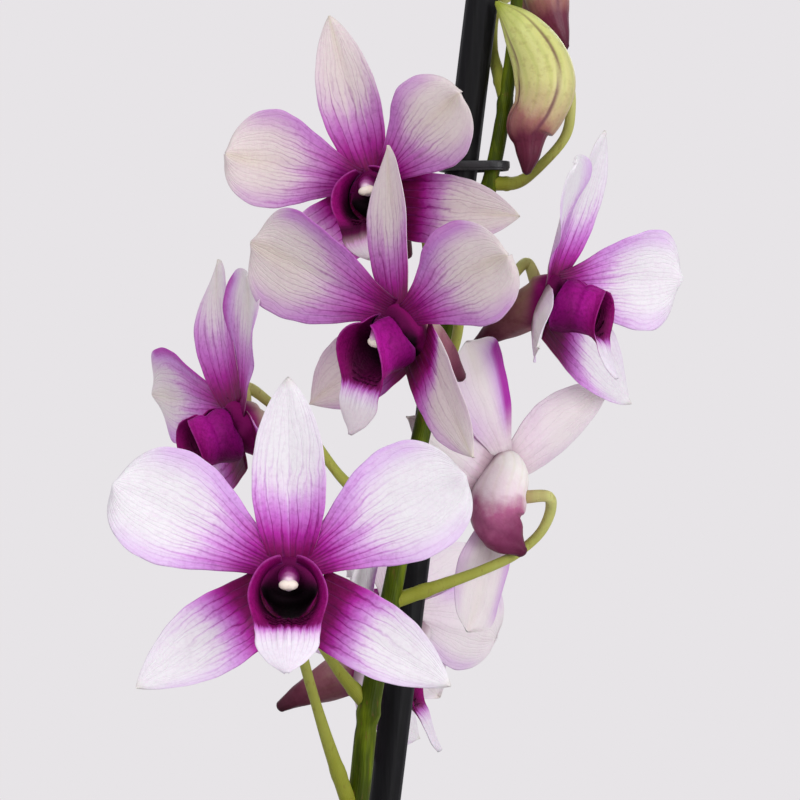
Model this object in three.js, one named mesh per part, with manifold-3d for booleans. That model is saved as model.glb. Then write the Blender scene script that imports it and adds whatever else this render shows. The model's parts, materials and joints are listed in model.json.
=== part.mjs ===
// Dendrobium orchid in a clay pot. Units are millimetres, +Z is up, and the
// origin is the centre of the pot's flat underside. The front of the plant is -Y.
//
// A bloom's own frame: x to its right as it is looked at, y behind it, z up.
// It faces -y. A tepal (petal or sepal) leaves the middle at a clock angle,
// counted from x towards z, and is lifted forwards out of the bloom's plane.

import * as THREE from 'three';
import * as BufferGeometryUtils from 'three/addons/utils/BufferGeometryUtils.js';
import Module from 'manifold-3d';

const wasm = await Module();
wasm.setup();

// ---------------------------------------------------------------- dimensions

const GAP = 0.35;                  // clearance between neighbouring pieces
const PETAL_THICKNESS = 0.64;
const LEAF_THICKNESS = 0.9;

const POT = { height: 100, footRadius: 42, rimRadius: 60, collarHeight: 20, collarStep: 3,
  wall: 4.5, floor: 6, sides: 28 };
const BARK = { top: 87, crown: 3, clear: 0.35, chunks: 26, chunkSize: 13, seed: 7 };

const STAKE = { radius: 3, foot: [-30, 18, 30], top: [26.2, -1, 493], sides: 10, point: 7 };

// The flower stem rises from the tallest cane, bends up beside the stake and
// crosses in front of it. Each point is [x, y, z] with the radius there.
const STEM = {
  path: [[-7.2, -6.6, 263.45], [-5, -8.4, 290], [0.3, -9, 321], [2.2, -9, 337], [7.3, -8, 363],
    [11.7, -7, 387], [18.1, -5, 412], [25.2, -1.2, 437], [27.4, 0.4, 449], [29, 1, 461],
    [30, 2, 478], [29, 3, 492], [26, 4, 503.7]],
  radii: [2.4, 2.2, 2.0, 2.0, 1.8, 1.7, 1.55, 1.4, 1.35, 1.2, 1.0, 0.85, 0.7],
  sides: 8,
};
const PEDICEL = { radius: 1.05, bloomEnd: 1.35, stemEnd: 1.5, sides: 6 };

// Tepal outlines: how fast the blade widens (rise), how fast it closes at the
// tip (fall), and its width at the root as a share of its full width.
const SEPAL = { rise: 0.75, fall: 0.85, base: 0.45, cup: 0.5 };
const PETAL = { rise: 1.3, fall: 0.5, base: 0.25, cup: 0.35 };
const LATERAL = { rise: 0.5, fall: 0.85, base: 0.85, cup: 0.4 };
const TEPALS = {
  dorsal: { root: [0, 0, 1], outline: SEPAL, widths: [6.7, 6.7], lanes: 2 },
  petalLeft: { root: [-2, 0, 0], outline: PETAL, widths: [9.1, 11.1], lanes: 4 },
  petalRight: { root: [2, 0, 0], outline: PETAL, widths: [11.1, 9.1], lanes: 4 },
  lateralLeft: { root: [-3.2, 1, -6], outline: LATERAL, widths: [7.2, 7.2], lanes: 2 },
  lateralRight: { root: [3.2, 1, -6], outline: LATERAL, widths: [7.2, 7.2], lanes: 2 },
};
const BLADE_STEPS = 6;             // divisions along a petal or sepal
const TIP_HALF_WIDTH = 0.45;

// The chin (mentum) behind each bloom, as [y, z, radius] along its middle.
const CHIN = [[-2.2, -1.1, 2.3], [-1.0, -1.45, 3.6], [1, -3.4, 4.6], [5, -6.5, 4.4],
  [10.5, -11, 2.6], [14, -14.5, 1.2]];
const CHIN_SIDES = 8;
const CHIN_SEAT = 2;               // the pedicel meets the chin beside this point

// The column and its cap, as [y, z, radius].
const COLUMN = [[-3.65, -1.05, 1.8], [-4.8, -1.3, 1.9], [-5.6, -1.7, 1.8], [-6.1, -2.0, 1.5],
  [-6.8, -2.4, 1.2], [-7.2, -2.6, 0.7]];
const COLUMN_SIDES = 6;

// The lip: its middle line as [y, z], and at shares of its length its half
// width measured along the surface and the radius to which it is rolled. Its
// sides stop short of meeting, at the furthest angle (radians).
const LIP = {
  middle: [[-1.9, -9.1], [-4, -9.2], [-7, -8.9], [-11, -9.6], [-14.2, -12.4], [-17.3, -16.6]],
  halfWidth: [[0, 7], [0.07, 10], [0.14, 14], [0.24, 16], [0.36, 16], [0.44, 13.4],
    [0.51, 9.6], [0.57, 6.9], [0.63, 5.8], [0.74, 5.7], [0.84, 4.7], [0.93, 2.8], [1, 0.5]],
  roll: [[0, 5.2], [0.3, 5.2], [0.42, 5.4], [0.5, 6.1], [0.58, 8.4], [0.66, 20], [1, 60]],
  furthest: 2.9, steps: 8, lanes: 6,
};

// Each tepal: clock, lift, bend (how much the lift changes by the tip), length,
// and where they differ from the usual, [left, right] widths and roll. A bloom's
// chin may hang lower by `droop` degrees, or have its own [x, y, z, radius]
// points, `seat`, the direction in which its pedicel leaves it, and `seatAt`.
const pose = (clock, lift, bend, length, widths = null, roll = 0) =>
  ({ clock, lift, bend, length, widths, roll });

const BLOOMS = [
  { at: [-11, -42, 365], turn: [0, 0, 0], size: 1,
    dorsal: pose(90, 14, 4, 33),
    petalLeft: pose(152, 16, -6, 32, [9.3, 11.3]), petalRight: pose(30, 16, -6, 33, [11.4, 9.5]),
    lateralLeft: pose(212, 8, 0, 27.5, [6.2, 7.6]), lateralRight: pose(330, 8, 0, 28.5, [7.6, 6.2]),
    pedicel: [[-0.8, -9, 319], [-6, -19, 336], [-10, -25, 352], [-11, -28, 364]] },
  { at: [8, -34, 409], turn: [-56, -26, 14], size: 0.95, droop: 18,
    dorsal: pose(121, -30, 0, 32, [6.4, 6.4], 10),
    petalLeft: pose(147, 26, -8, 29.5, [11.4, 11.9], 20),
    petalRight: pose(30, -10, -8, 29.5, [10.8, 9.2]),
    lateralLeft: pose(215, 22, 0, 27), lateralRight: pose(334, 24, 0, 29, null, -18),
    pedicel: [[14.2, -6.3, 396], [17, -12, 401], [18.5, -20, 409], [16, -28, 415.5]] },
  { at: [3, -10, 434], turn: [-14, 0, -14], size: 0.92,
    dorsal: pose(89, 10, 0, 32.5, [6.6, 6.2]),
    petalLeft: pose(154, 39, -6, 29, [8.8, 10.6]), petalRight: pose(25, 31, -8, 27.5, [9.8, 10.4]),
    lateralLeft: pose(206, 39, 0, 28), lateralRight: pose(340, 17, 0, 28),
    pedicel: [[17.6, -5.1, 410], [14, -6.4, 416.5], [12.7, -4.4, 424], [11.2, -2.4, 431],
      [8, -2, 436.5]] },
  { at: [36.4, 6.5, 415.7], turn: [62, -9, 6], size: 0.92,
    dorsal: pose(87, 9, 0, 32),
    petalLeft: pose(125, 17, 0, 29, [9.1, 11.1], 12),
    petalRight: pose(17, 39, -6, 29, [11.5, 10.5]),
    lateralLeft: pose(202, 29, 0, 26, null, -15), lateralRight: pose(327, 25, 0, 29, [8.5, 7.5]),
    pedicel: [[17.5, -5, 409], [24, 0, 412], [28.5, 4, 416.5]] },
  { at: [-22, -6, 392], turn: [-58, -14, 0], size: 0.95, seat: [-0.4, 0.5, 0.77],
    dorsal: pose(112, -7, -20, 31, null, 10),
    petalLeft: pose(173, 1, 0, 29), petalRight: pose(62, -1, 0, 29, null, -18),
    lateralLeft: pose(207, 2, 0, 27), lateralRight: pose(349, 22, 0, 27),
    pedicel: [[8.6, -7.8, 371], [-2, -5, 379], [-9.5, -3, 388.4], [-15, -2.5, 392.7]] },
  { at: [28.3, 11, 380.8], turn: [-125, 30, -45], size: 0.92,
    chin: [[0, -2.2, -1.1, 2.3], [0.1, -1.0, -1.4, 3.5], [2.0, 1.8, -2.3, 4.8], [0.9, 3.7, -6.5, 6.0],
      [-1.2, 6.4, -9.9, 5.5], [-3.5, 10.3, -10.8, 3.5], [-5.0, 13.3, -10.7, 1.3]],
    seat: [-0.15, 0.69, 0.71], seatAt: 3,
    dorsal: pose(96, 2, 0, 30.5, null, -25),
    petalLeft: pose(246, -24, 0, 33, [7, 8], 22), petalRight: pose(7, 20, 0, 30, [8.5, 8]),
    lateralLeft: pose(153, 16, 0, 26), lateralRight: pose(337, 30, 0, 25, [6.2, 4.8], 10),
    pedicel: [[6, -8.2, 357], [16, -5, 360.2], [24, 1, 362.8], [30.5, 9.3, 365.6],
      [34.6, 10, 369.4], [36.3, 9, 373.6]] },
  { at: [8, 54, 352], turn: [-165, 8, -25], size: 0.98,
    dorsal: pose(135, 36, 4, 29),
    petalLeft: pose(176, 27, 6, 29), petalRight: pose(72, 34, 4, 28),
    lateralLeft: pose(205, 40, 0, 26), lateralRight: pose(335, 40, 0, 26),
    pedicel: [[4.4, -8.6, 350], [3.6, -2, 353], [4.8, 5, 355], [7.5, 14, 356.5],
      [10, 24, 357.5], [10.5, 34, 359]] },
  { at: [1.5, 19, 346], turn: [80, -8, 0], size: 0.98, droop: -6,
    dorsal: pose(84, 8, 0, 31),
    petalLeft: pose(139, 1, 0, 29), petalRight: pose(25, -20, 0, 29),
    lateralLeft: pose(211, 21, 0, 27), lateralRight: pose(331, 22, 0, 27),
    pedicel: [[2.4, -9, 338], [-3.5, -8, 345], [-7, 0, 350], [-7, 9, 353]] },
];

// Buds hang from their own stalks. The body runs from its tip to its chin as
// [x, y, z, radius]; the stalk starts on the stem and ends beside point `seat`.
const BUDS = [
  { body: [[25.8, -4.2, 467, 0.5], [30.3, -4.8, 462.2, 3.7], [33.8, -4.9, 456.4, 5.3],
    [34.8, -5, 451.6, 5.6], [33.7, -5, 447.2, 4.9], [31.8, -5, 443.8, 4.3], [31.7, -5, 441, 2.8],
    [31.6, -5, 438.6, 2.1], [31.3, -5, 436.2, 1.0]],
    seat: 3, stalk: [[25, -1.4, 434], [30, 0.6, 434.4], [35, 1.8, 438.4], [38.7, 2, 443],
      [39.6, 1.2, 447]] },
  { body: [[33, 9, 486, 0.4], [34.4, 9, 481, 2.4], [34.6, 9, 475.6, 4.4], [35, 9, 470.6, 4.9],
    [36.2, 8.6, 466, 3.9], [37.8, 8, 462.6, 2.2], [38.8, 8, 460.4, 1.0]],
    seat: 3, stalk: [[27.6, 0.6, 450], [25.4, 4.6, 459], [26, 7.2, 467]] },
  { body: [[13.5, 5, 496, 0.4], [15.4, 5, 492.6, 1.9], [16.4, 5, 488.6, 3.4], [16.4, 5, 485, 3.8],
    [15.4, 5.4, 481.4, 2.8], [14, 6, 478.4, 1.0]],
    seat: 3, stalk: [[30, 2, 477], [27.2, 5.6, 476.6], [24, 6.4, 480.4]] },
  { body: [[40, 2, 503, 0.4], [38.8, 2, 499.6, 1.7], [38, 2, 496, 2.8], [38.2, 2, 493, 3.0],
    [39.2, 2.2, 490.2, 1.9], [40, 2.4, 488.2, 0.9]],
    seat: 3, stalk: [[29.6, 2.6, 487], [32.2, 2.6, 486.8], [34.4, 2.4, 489.4]] },
  { body: [[19.4, 5, 509, 0.3], [20.2, 5, 506.6, 1.3], [20.8, 5, 504, 2.1], [20.6, 5, 501.6, 2.2],
    [19.8, 5, 499.6, 0.9]],
    seat: 3, stalk: [[28, 3.4, 496], [26, 3.8, 496.4], [24.4, 4.4, 498.8]] },
  { body: [[22.6, 4.6, 517, 0.3], [23.6, 4.5, 514.2, 1.1], [24.4, 4.4, 511, 1.8], [24.8, 4.3, 508.2, 1.9],
    [25.3, 4.2, 506, 1.4], [25.7, 4.1, 504.2, 0.8]],
    seat: null, stalk: null },
];

// Canes (swollen stems): [x, y, z] of the foot in the bark, of the middle and
// of the top, and the thickest radius.
const CANE = { sides: 10, rings: 12, footRadius: 4, topRadius: 3.4, nodeSwell: 0.5, nodes: 6 };
const CANES = [
  { foot: [-9, -1, 60], middle: [-13, -4, 160], top: [-7.4, -6.4, 263], radius: 7.6 },
  { foot: [14, 6, 60], middle: [24, 12, 140], top: [40, 16, 222], radius: 8 },
  { foot: [-14, 24, 60], middle: [-26, 34, 130], top: [-46, 40, 196], radius: 7.4 },
  { foot: [13, -16, 60], middle: [20, -27, 115], top: [33, -36, 160], radius: 6.6 },
];

// Leaves: which cane, how far up it (0 to 1), the compass angle they leave at,
// how steeply they rise, how much they droop, length and half width.
const LEAF = { steps: 7, baseHalfWidth: 2.6, channel: 0.55, rise: 0.75, fall: 0.75 };
const LEAVES = [
  { cane: 0, up: 0.62, compass: 205, rise: 62, droop: -58, length: 104, half: 12.5 },
  { cane: 0, up: 0.76, compass: 22, rise: 60, droop: -52, length: 98, half: 12 },
  { cane: 0, up: 0.88, compass: 200, rise: 58, droop: -64, length: 86, half: 11 },
  { cane: 1, up: 0.55, compass: -35, rise: 58, droop: -62, length: 104, half: 13 },
  { cane: 1, up: 0.72, compass: 150, rise: 62, droop: -60, length: 92, half: 12 },
  { cane: 1, up: 0.84, compass: -40, rise: 60, droop: -55, length: 96, half: 12.5 },
  { cane: 1, up: 0.95, compass: 140, rise: 66, droop: -56, length: 76, half: 10.5 },
  { cane: 2, up: 0.6, compass: 250, rise: 56, droop: -60, length: 98, half: 12.5 },
  { cane: 2, up: 0.78, compass: 70, rise: 62, droop: -62, length: 90, half: 12 },
  { cane: 2, up: 0.93, compass: 235, rise: 62, droop: -50, length: 84, half: 11.5 },
  { cane: 3, up: 0.66, compass: 300, rise: 55, droop: -62, length: 84, half: 11.5 },
  { cane: 3, up: 0.9, compass: 120, rise: 64, droop: -70, length: 72, half: 10.5 },
];

// Roots creep over the bark from the cane feet: compass angle and length.
const ROOT = { radius: 1.7, sides: 6, sink: 0.4 };
const ROOTS = [
  { cane: 0, compass: 200, length: 34, turn: 35 }, { cane: 0, compass: 250, length: 30, turn: -40 },
  { cane: 1, compass: 10, length: 28, turn: 40 }, { cane: 1, compass: 75, length: 30, turn: -30 },
  { cane: 2, compass: 130, length: 20, turn: 30 }, { cane: 3, compass: 290, length: 26, turn: 45 },
];

// The clip that ties the stem to the stake.
const CLIP = { height: 437.4, band: 1.1, tall: 1.4, corners: 5 };

const COLOURS = {
  pot: [0xb5673f, 0.85], bark: [0x5d3f2a, 0.95], stake: [0x232529, 0.45], clip: [0x2b2f2d, 0.5],
  stem: [0x6d8a25, 0.5], cane: [0x7f8f3c, 0.55], leaf: [0x3f6a26, 0.45], petal: [0xe6c4e4, 0.6],
  lip: [0x7b0e63, 0.5], column: [0xf2e6d8, 0.5], bud: [0xa9a860, 0.55],
};

// ------------------------------------------------------------------- solids

const degrees = Math.PI / 180;
const vector = (p) => new THREE.Vector3(p[0], p[1], p[2]);

/** A closed triangle mesh as a solid, turned the right way out. */
function solid(points, faces) {
  const make = (triVerts) => new wasm.Manifold(new wasm.Mesh({
    numProp: 3,
    vertProperties: Float32Array.from(points.flatMap((p) => [p.x, p.y, p.z])),
    triVerts: Uint32Array.from(triVerts.flat()),
  }));
  const body = make(faces);
  return body.volume() > 0 ? body : make(faces.map(([a, b, c]) => [a, c, b]));
}

/** A three.js geometry as a solid. */
function solidOf(geometry) {
  const bare = geometry.clone();
  bare.deleteAttribute('normal');
  bare.deleteAttribute('uv');
  const merged = BufferGeometryUtils.mergeVertices(bare, 1e-4);
  const place = merged.getAttribute('position');
  const pointAtIndex = (_, i) => new THREE.Vector3().fromBufferAttribute(place, i);
  const points = Array.from({ length: place.count }, pointAtIndex);
  const faces = [];
  for (let i = 0; i < merged.index.count; i += 3) {
    const face = [merged.index.getX(i), merged.index.getX(i + 1), merged.index.getX(i + 2)];
    if (new Set(face).size === 3) faces.push(face);
  }
  return solid(points, faces);
}

/** The solid as a geometry for a mesh. */
function geometryOf(body) {
  const { vertProperties, triVerts } = body.getMesh();
  const geometry = new THREE.BufferGeometry();
  geometry.setAttribute('position', new THREE.BufferAttribute(Float32Array.from(vertProperties), 3));
  geometry.setIndex(new THREE.BufferAttribute(Uint32Array.from(triVerts), 1));
  geometry.computeVertexNormals();
  return geometry;
}

const fuse = (bodies) => wasm.Manifold.union(bodies);

/** The largest piece of a solid, without scraps that a cut has left loose. */
function largest(body) {
  return body.decompose().reduce((best, piece) => (piece.volume() > best.volume() ? piece : best));
}

/** A smooth line through points, as `count` + 1 samples. */
function smooth(points, count) {
  return new THREE.CatmullRomCurve3(points.map(vector), false, 'centripetal').getPoints(count);
}

/** The value at share s of a list of [share, value] stops. */
function valueAt(stops, s) {
  const after = Math.max(1, stops.findIndex(([share]) => share >= s - 1e-9));
  const [s0, v0] = stops[after - 1];
  const [s1, v1] = stops[after];
  return v0 + (v1 - v0) * (s - s0) / (s1 - s0);
}

/** Evenly spread values as stops for valueAt. */
const spread = (values) => values.map((value, i) => [i / (values.length - 1), value]);

/** A closed tube along a line of points, with the radius given at each point. */
function tube(line, radii, sides) {
  const points = [];
  const faces = [];
  let side = null;
  line.forEach((middle, i) => {
    const ahead = line[Math.min(i + 1, line.length - 1)].clone().sub(line[Math.max(i - 1, 0)]).normalize();
    if (!side) side = Math.abs(ahead.z) < 0.9 ? new THREE.Vector3(0, 0, 1) : new THREE.Vector3(1, 0, 0);
    side = side.clone().addScaledVector(ahead, -side.dot(ahead)).normalize();
    const other = ahead.clone().cross(side);
    for (let k = 0; k < sides; k += 1) {
      const angle = 2 * Math.PI * k / sides;
      points.push(middle.clone().addScaledVector(side, radii[i] * Math.cos(angle))
        .addScaledVector(other, radii[i] * Math.sin(angle)));
    }
  });
  const at = (i, k) => i * sides + k % sides;
  for (let i = 0; i < line.length - 1; i += 1) {
    for (let k = 0; k < sides; k += 1) {
      faces.push([at(i, k), at(i, k + 1), at(i + 1, k + 1)], [at(i, k), at(i + 1, k + 1), at(i + 1, k)]);
    }
  }
  const last = line.length - 1;
  for (let k = 1; k < sides - 1; k += 1) {
    faces.push([at(0, 0), at(0, k + 1), at(0, k)], [at(last, 0), at(last, k), at(last, k + 1)]);
  }
  return solid(points, faces);
}

/** A thin solid on both sides of a grid of points, split alike on its two faces. */
function slab(grid, thickness) {
  const rows = grid.length;
  const lanes = grid[0].length;
  const points = [];
  for (const side of [0.5, -0.5]) {
    for (let i = 0; i < rows; i += 1) {
      for (let j = 0; j < lanes; j += 1) {
        const along = grid[Math.min(i + 1, rows - 1)][j].clone().sub(grid[Math.max(i - 1, 0)][j]);
        const across = grid[i][Math.min(j + 1, lanes - 1)].clone().sub(grid[i][Math.max(j - 1, 0)]);
        const normal = along.cross(across).normalize();
        points.push(grid[i][j].clone().addScaledVector(normal, side * thickness));
      }
    }
  }
  const front = (i, j) => i * lanes + j;
  const back = (i, j) => rows * lanes + front(i, j);
  const faces = [];
  const quad = (a, b, c, d) => faces.push([a, b, c], [a, c, d]);
  for (let i = 0; i < rows - 1; i += 1) {
    for (let j = 0; j < lanes - 1; j += 1) {
      quad(front(i, j), front(i + 1, j), front(i + 1, j + 1), front(i, j + 1));
      faces.push([back(i, j), back(i + 1, j + 1), back(i + 1, j)]);
      faces.push([back(i, j), back(i, j + 1), back(i + 1, j + 1)]);
    }
    quad(front(i, 0), back(i, 0), back(i + 1, 0), front(i + 1, 0));
    quad(front(i + 1, lanes - 1), back(i + 1, lanes - 1), back(i, lanes - 1), front(i, lanes - 1));
  }
  for (let j = 0; j < lanes - 1; j += 1) {
    quad(front(0, j + 1), back(0, j + 1), back(0, j), front(0, j));
    quad(front(rows - 1, j), back(rows - 1, j), back(rows - 1, j + 1), front(rows - 1, j + 1));
  }
  return solid(points, faces);
}

// ------------------------------------------------------------------- blooms

/** Half width of a blade at share s of its length, as a share of its greatest. */
function outlineAt({ rise, fall, base }, s) {
  const peak = rise / (rise + fall);
  const bulge = s ** rise * (1 - s) ** fall / (peak ** rise * (1 - peak) ** fall);
  const root = base * (1 - s) ** 2;
  return root + bulge * (1 - root);
}

/** Two square directions, both turned by an angle from the first towards the second. */
function turnedPair(first, second, angle) {
  const cos = Math.cos(angle * degrees);
  const sin = Math.sin(angle * degrees);
  return [first.clone().multiplyScalar(cos).addScaledVector(second, sin),
    second.clone().multiplyScalar(cos).addScaledVector(first, -sin)];
}

/** The middle surface of one tepal in the bloom's frame, as a grid of points. */
function tepalGrid(tepal, { clock, lift, bend, length, widths, roll }) {
  const [left, right] = widths ?? tepal.widths;
  const curl = tepal.outline.cup / Math.max(left, right);
  const around = new THREE.Vector3(Math.cos(clock * degrees), 0, Math.sin(clock * degrees));
  const aside = new THREE.Vector3(-Math.sin(clock * degrees), 0, Math.cos(clock * degrees));
  const forward = new THREE.Vector3(0, -1, 0);
  const grid = [];
  const middle = vector(tepal.root);
  let before = 0;
  let headingBefore = null;
  for (let i = 0; i <= BLADE_STEPS; i += 1) {
    const s = 1 - (1 - i / BLADE_STEPS) ** 1.4;
    const [heading, face] = turnedPair(around, forward, lift + bend * s);
    const [across, up] = turnedPair(aside, face, roll);
    if (headingBefore) {
      middle.addScaledVector(heading.clone().add(headingBefore), length * (s - before) / 2);
    }
    before = s;
    headingBefore = heading;
    const share = outlineAt(tepal.outline, s);
    grid.push(Array.from({ length: tepal.lanes + 1 }, (_, j) => {
      const t = 2 * j / tepal.lanes - 1;
      const reach = t * Math.max((t > 0 ? left : right) * share, TIP_HALF_WIDTH) * curl;
      return middle.clone().addScaledVector(across, Math.sin(reach) / curl)
        .addScaledVector(up, (1 - Math.cos(reach)) / curl);
    }));
  }
  return grid;
}

const scaled = (body, size) => body.scale([size, size, size]);

/** The points [x, y, z, radius] along a bloom's chin, in the bloom's frame. */
function chinPoints({ chin, droop = 0 }) {
  if (chin) return chin;
  const [y0, z0] = CHIN[CHIN_SEAT];
  return CHIN.map(([y, z, radius], i) => {
    const turn = i > CHIN_SEAT ? droop * degrees : 0;
    return [0, y0 + (y - y0) * Math.cos(turn) + (z - z0) * Math.sin(turn),
      z0 + (z - z0) * Math.cos(turn) - (y - y0) * Math.sin(turn), radius];
  });
}

/** Sepals and petals, joined to the chin that they grow from. */
function tepalsSolid(bloom) {
  const blades = Object.entries(TEPALS)
    .map(([name, tepal]) => slab(tepalGrid(tepal, bloom[name]), PETAL_THICKNESS));
  const points = chinPoints(bloom);
  const chin = tube(points.map(vector), points.map(([, , , radius]) => radius), CHIN_SIDES);
  return scaled(fuse([chin, ...blades]), bloom.size);
}

/** The lip: a trough whose sides roll up round the column, ending in a tongue. */
function lipSolid(bloom) {
  const line = smooth(LIP.middle.map(([y, z]) => [0, y, z]), LIP.steps);
  const grid = line.map((middle, i) => {
    const s = i / LIP.steps;
    const along = line[Math.min(i + 1, LIP.steps)].clone().sub(line[Math.max(i - 1, 0)]).normalize();
    const up = new THREE.Vector3(1, 0, 0).cross(along).negate();
    const half = valueAt(LIP.halfWidth, s);
    const roll = valueAt(LIP.roll, s);
    return Array.from({ length: LIP.lanes + 1 }, (_, j) => {
      const t = 2 * j / LIP.lanes - 1;
      const angle = THREE.MathUtils.clamp(t * half / roll, -LIP.furthest, LIP.furthest);
      return middle.clone().add(new THREE.Vector3(roll * Math.sin(angle), 0, 0))
        .addScaledVector(up, roll * (1 - Math.cos(angle)));
    });
  });
  return scaled(slab(grid, PETAL_THICKNESS), bloom.size);
}

/** The column with its pale cap, inside the lip. */
function columnSolid(bloom) {
  const line = COLUMN.map(([y, z]) => new THREE.Vector3(0, y, z));
  return scaled(tube(line, COLUMN.map(([, , radius]) => radius), COLUMN_SIDES), bloom.size);
}

/** A group that stands at the bloom's place and faces as it does. */
function bloomFrame(bloom) {
  const [yaw, pitch, roll] = bloom.turn.map((angle) => angle * degrees);
  const frame = new THREE.Group();
  frame.position.fromArray(bloom.at);
  frame.rotation.set(-pitch, roll, yaw, 'ZXY');
  frame.updateMatrixWorld();
  return frame;
}

// --------------------------------------------------------------- stem and buds

/** The last two points of a bloom's pedicel: off the chin's back, and on it. */
function pedicelSeat(bloom) {
  const points = chinPoints(bloom);
  const at = bloom.seatAt ?? CHIN_SEAT;
  const [x, y, z, radius] = points[at];
  const [, nextY, nextZ] = points[at + 1];
  const away = vector(bloom.seat ?? [0, z - nextZ, nextY - y]).normalize();
  const frame = bloomFrame(bloom);
  return [4, 0].map((off) => frame.localToWorld(new THREE.Vector3(x, y, z)
    .addScaledVector(away, radius + off + GAP / bloom.size).multiplyScalar(bloom.size)).toArray());
}

/** The last two points of a bud's stalk: off the bud's side, and a gap from it. */
function stalkSeat(bud) {
  const [x, y, z, radius] = bud.body[bud.seat];
  const middle = new THREE.Vector3(x, y, z);
  const away = vector(bud.stalk[bud.stalk.length - 1]).sub(middle);
  const along = vector(bud.body[bud.seat + 1]).sub(vector(bud.body[bud.seat - 1])).normalize();
  away.addScaledVector(along, -away.dot(along)).normalize();
  return [2, 0].map((off) => middle.clone().addScaledVector(away, radius + off + GAP).toArray());
}

/** A stalk from the stem to a bloom or a bud. */
function stalk(points, steps, endRadius) {
  const line = smooth(points, steps);
  const radii = line.map((_, i) => {
    const s = i / steps;
    return s < 0.5 ? THREE.MathUtils.lerp(PEDICEL.stemEnd, PEDICEL.radius, Math.min(1, 4 * s))
      : THREE.MathUtils.lerp(PEDICEL.radius, endRadius, Math.max(0, 4 * s - 3));
  });
  return tube(line, radii, PEDICEL.sides);
}

/** The flower stem with the stalks of all its blooms and buds. */
function flowerSpike() {
  const steps = 26;
  const line = smooth(STEM.path, steps);
  const radii = line.map((_, i) => valueAt(spread(STEM.radii), i / steps));
  const stalks = BLOOMS
    .map((bloom) => stalk([...bloom.pedicel, ...pedicelSeat(bloom)], 8, PEDICEL.bloomEnd));
  const small = BUDS.filter((bud) => bud.stalk)
    .map((bud) => stalk([...bud.stalk, ...stalkSeat(bud)], 7, PEDICEL.radius));
  return fuse([tube(line, radii, STEM.sides), ...stalks, ...small]);
}

/** One bud, from its pointed tip to its chin. */
function budSolid(bud) {
  return tube(bud.body.map(vector), bud.body.map(([, , , radius]) => radius), 8);
}

// ------------------------------------------------------------ canes and leaves

/** Middle line and radii of a cane, grown by `extra` all round. */
function caneLine(cane, extra = 0) {
  const line = smooth([cane.foot, cane.middle, cane.top], CANE.rings);
  const radii = line.map((_, i) => {
    const s = i / CANE.rings;
    const ends = THREE.MathUtils.lerp(CANE.footRadius, CANE.topRadius, s);
    const swell = (cane.radius - ends) * Math.sin(Math.PI * Math.min(1, s * 1.05)) ** 0.8;
    return ends + Math.max(0, swell) + CANE.nodeSwell * (i % 2) + extra;
  });
  return { line, radii };
}

function caneSolid(cane) {
  const { line, radii } = caneLine(cane);
  return tube(line, radii, CANE.sides);
}

/** A leaf that leaves its cane at an angle, arches over and is channelled. */
function leafSolid(leaf) {
  const { line, radii } = caneLine(CANES[leaf.cane]);
  const place = leaf.up * CANE.rings;
  const below = Math.floor(place);
  const out = new THREE.Vector3(Math.cos(leaf.compass * degrees), Math.sin(leaf.compass * degrees), 0);
  const across = new THREE.Vector3(-out.y, out.x, 0);
  const middle = line[below].clone().lerp(line[below + 1], place - below)
    .addScaledVector(out, Math.max(radii[below], radii[below + 1]) + GAP + LEAF_THICKNESS);
  const grid = [];
  let before = 0;
  for (let i = 0; i <= LEAF.steps; i += 1) {
    const s = i / LEAF.steps;
    const [heading, up] = turnedPair(out, new THREE.Vector3(0, 0, 1), leaf.rise + leaf.droop * s);
    middle.addScaledVector(heading, leaf.length * (s - before));
    before = s;
    const share = outlineAt({ rise: LEAF.rise, fall: LEAF.fall, base: LEAF.baseHalfWidth / leaf.half }, s);
    const half = Math.max(leaf.half * share, 2 * TIP_HALF_WIDTH);
    grid.push([-1, 0, 1].map((t) => middle.clone()
      .addScaledVector(across, t * half * Math.cos(LEAF.channel * Math.abs(t)))
      .addScaledVector(up, half * Math.sin(LEAF.channel * Math.abs(t)))));
  }
  return slab(grid, LEAF_THICKNESS);
}

// --------------------------------------------------------------- pot and stake

/** A solid of revolution from [radius, z] pairs that start and end on the axis. */
function turned(profile) {
  const outline = profile.map(([radius, z]) => new THREE.Vector2(radius, z));
  const geometry = new THREE.LatheGeometry(outline, POT.sides);
  geometry.rotateX(Math.PI / 2);
  return solidOf(geometry);
}

/** Inside radius of the pot at a height. */
function potInside(z) {
  const share = (z - POT.floor) / (POT.height - POT.floor);
  return THREE.MathUtils.lerp(POT.footRadius, POT.rimRadius - POT.collarStep, share) - POT.wall;
}

function potSolid() {
  const { height, footRadius, rimRadius, collarHeight, collarStep, floor } = POT;
  const neck = THREE.MathUtils.lerp(footRadius, rimRadius - collarStep, (height - collarHeight) / height);
  return turned([[0, 0], [footRadius - 1, 0], [footRadius, 1.2], [neck, height - collarHeight],
    [neck + collarStep, height - collarHeight + 1.5], [rimRadius, height - 1.5], [rimRadius - 1.5, height],
    [potInside(height) + 1.2, height], [potInside(height), height - 1.2],
    [potInside(floor), floor], [0, floor]]);
}

/** Repeatable random numbers from 0 to 1. */
function randomFrom(seed) {
  let state = seed;
  return () => {
    state = (state * 16807) % 2147483647;
    return state / 2147483647;
  };
}

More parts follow.
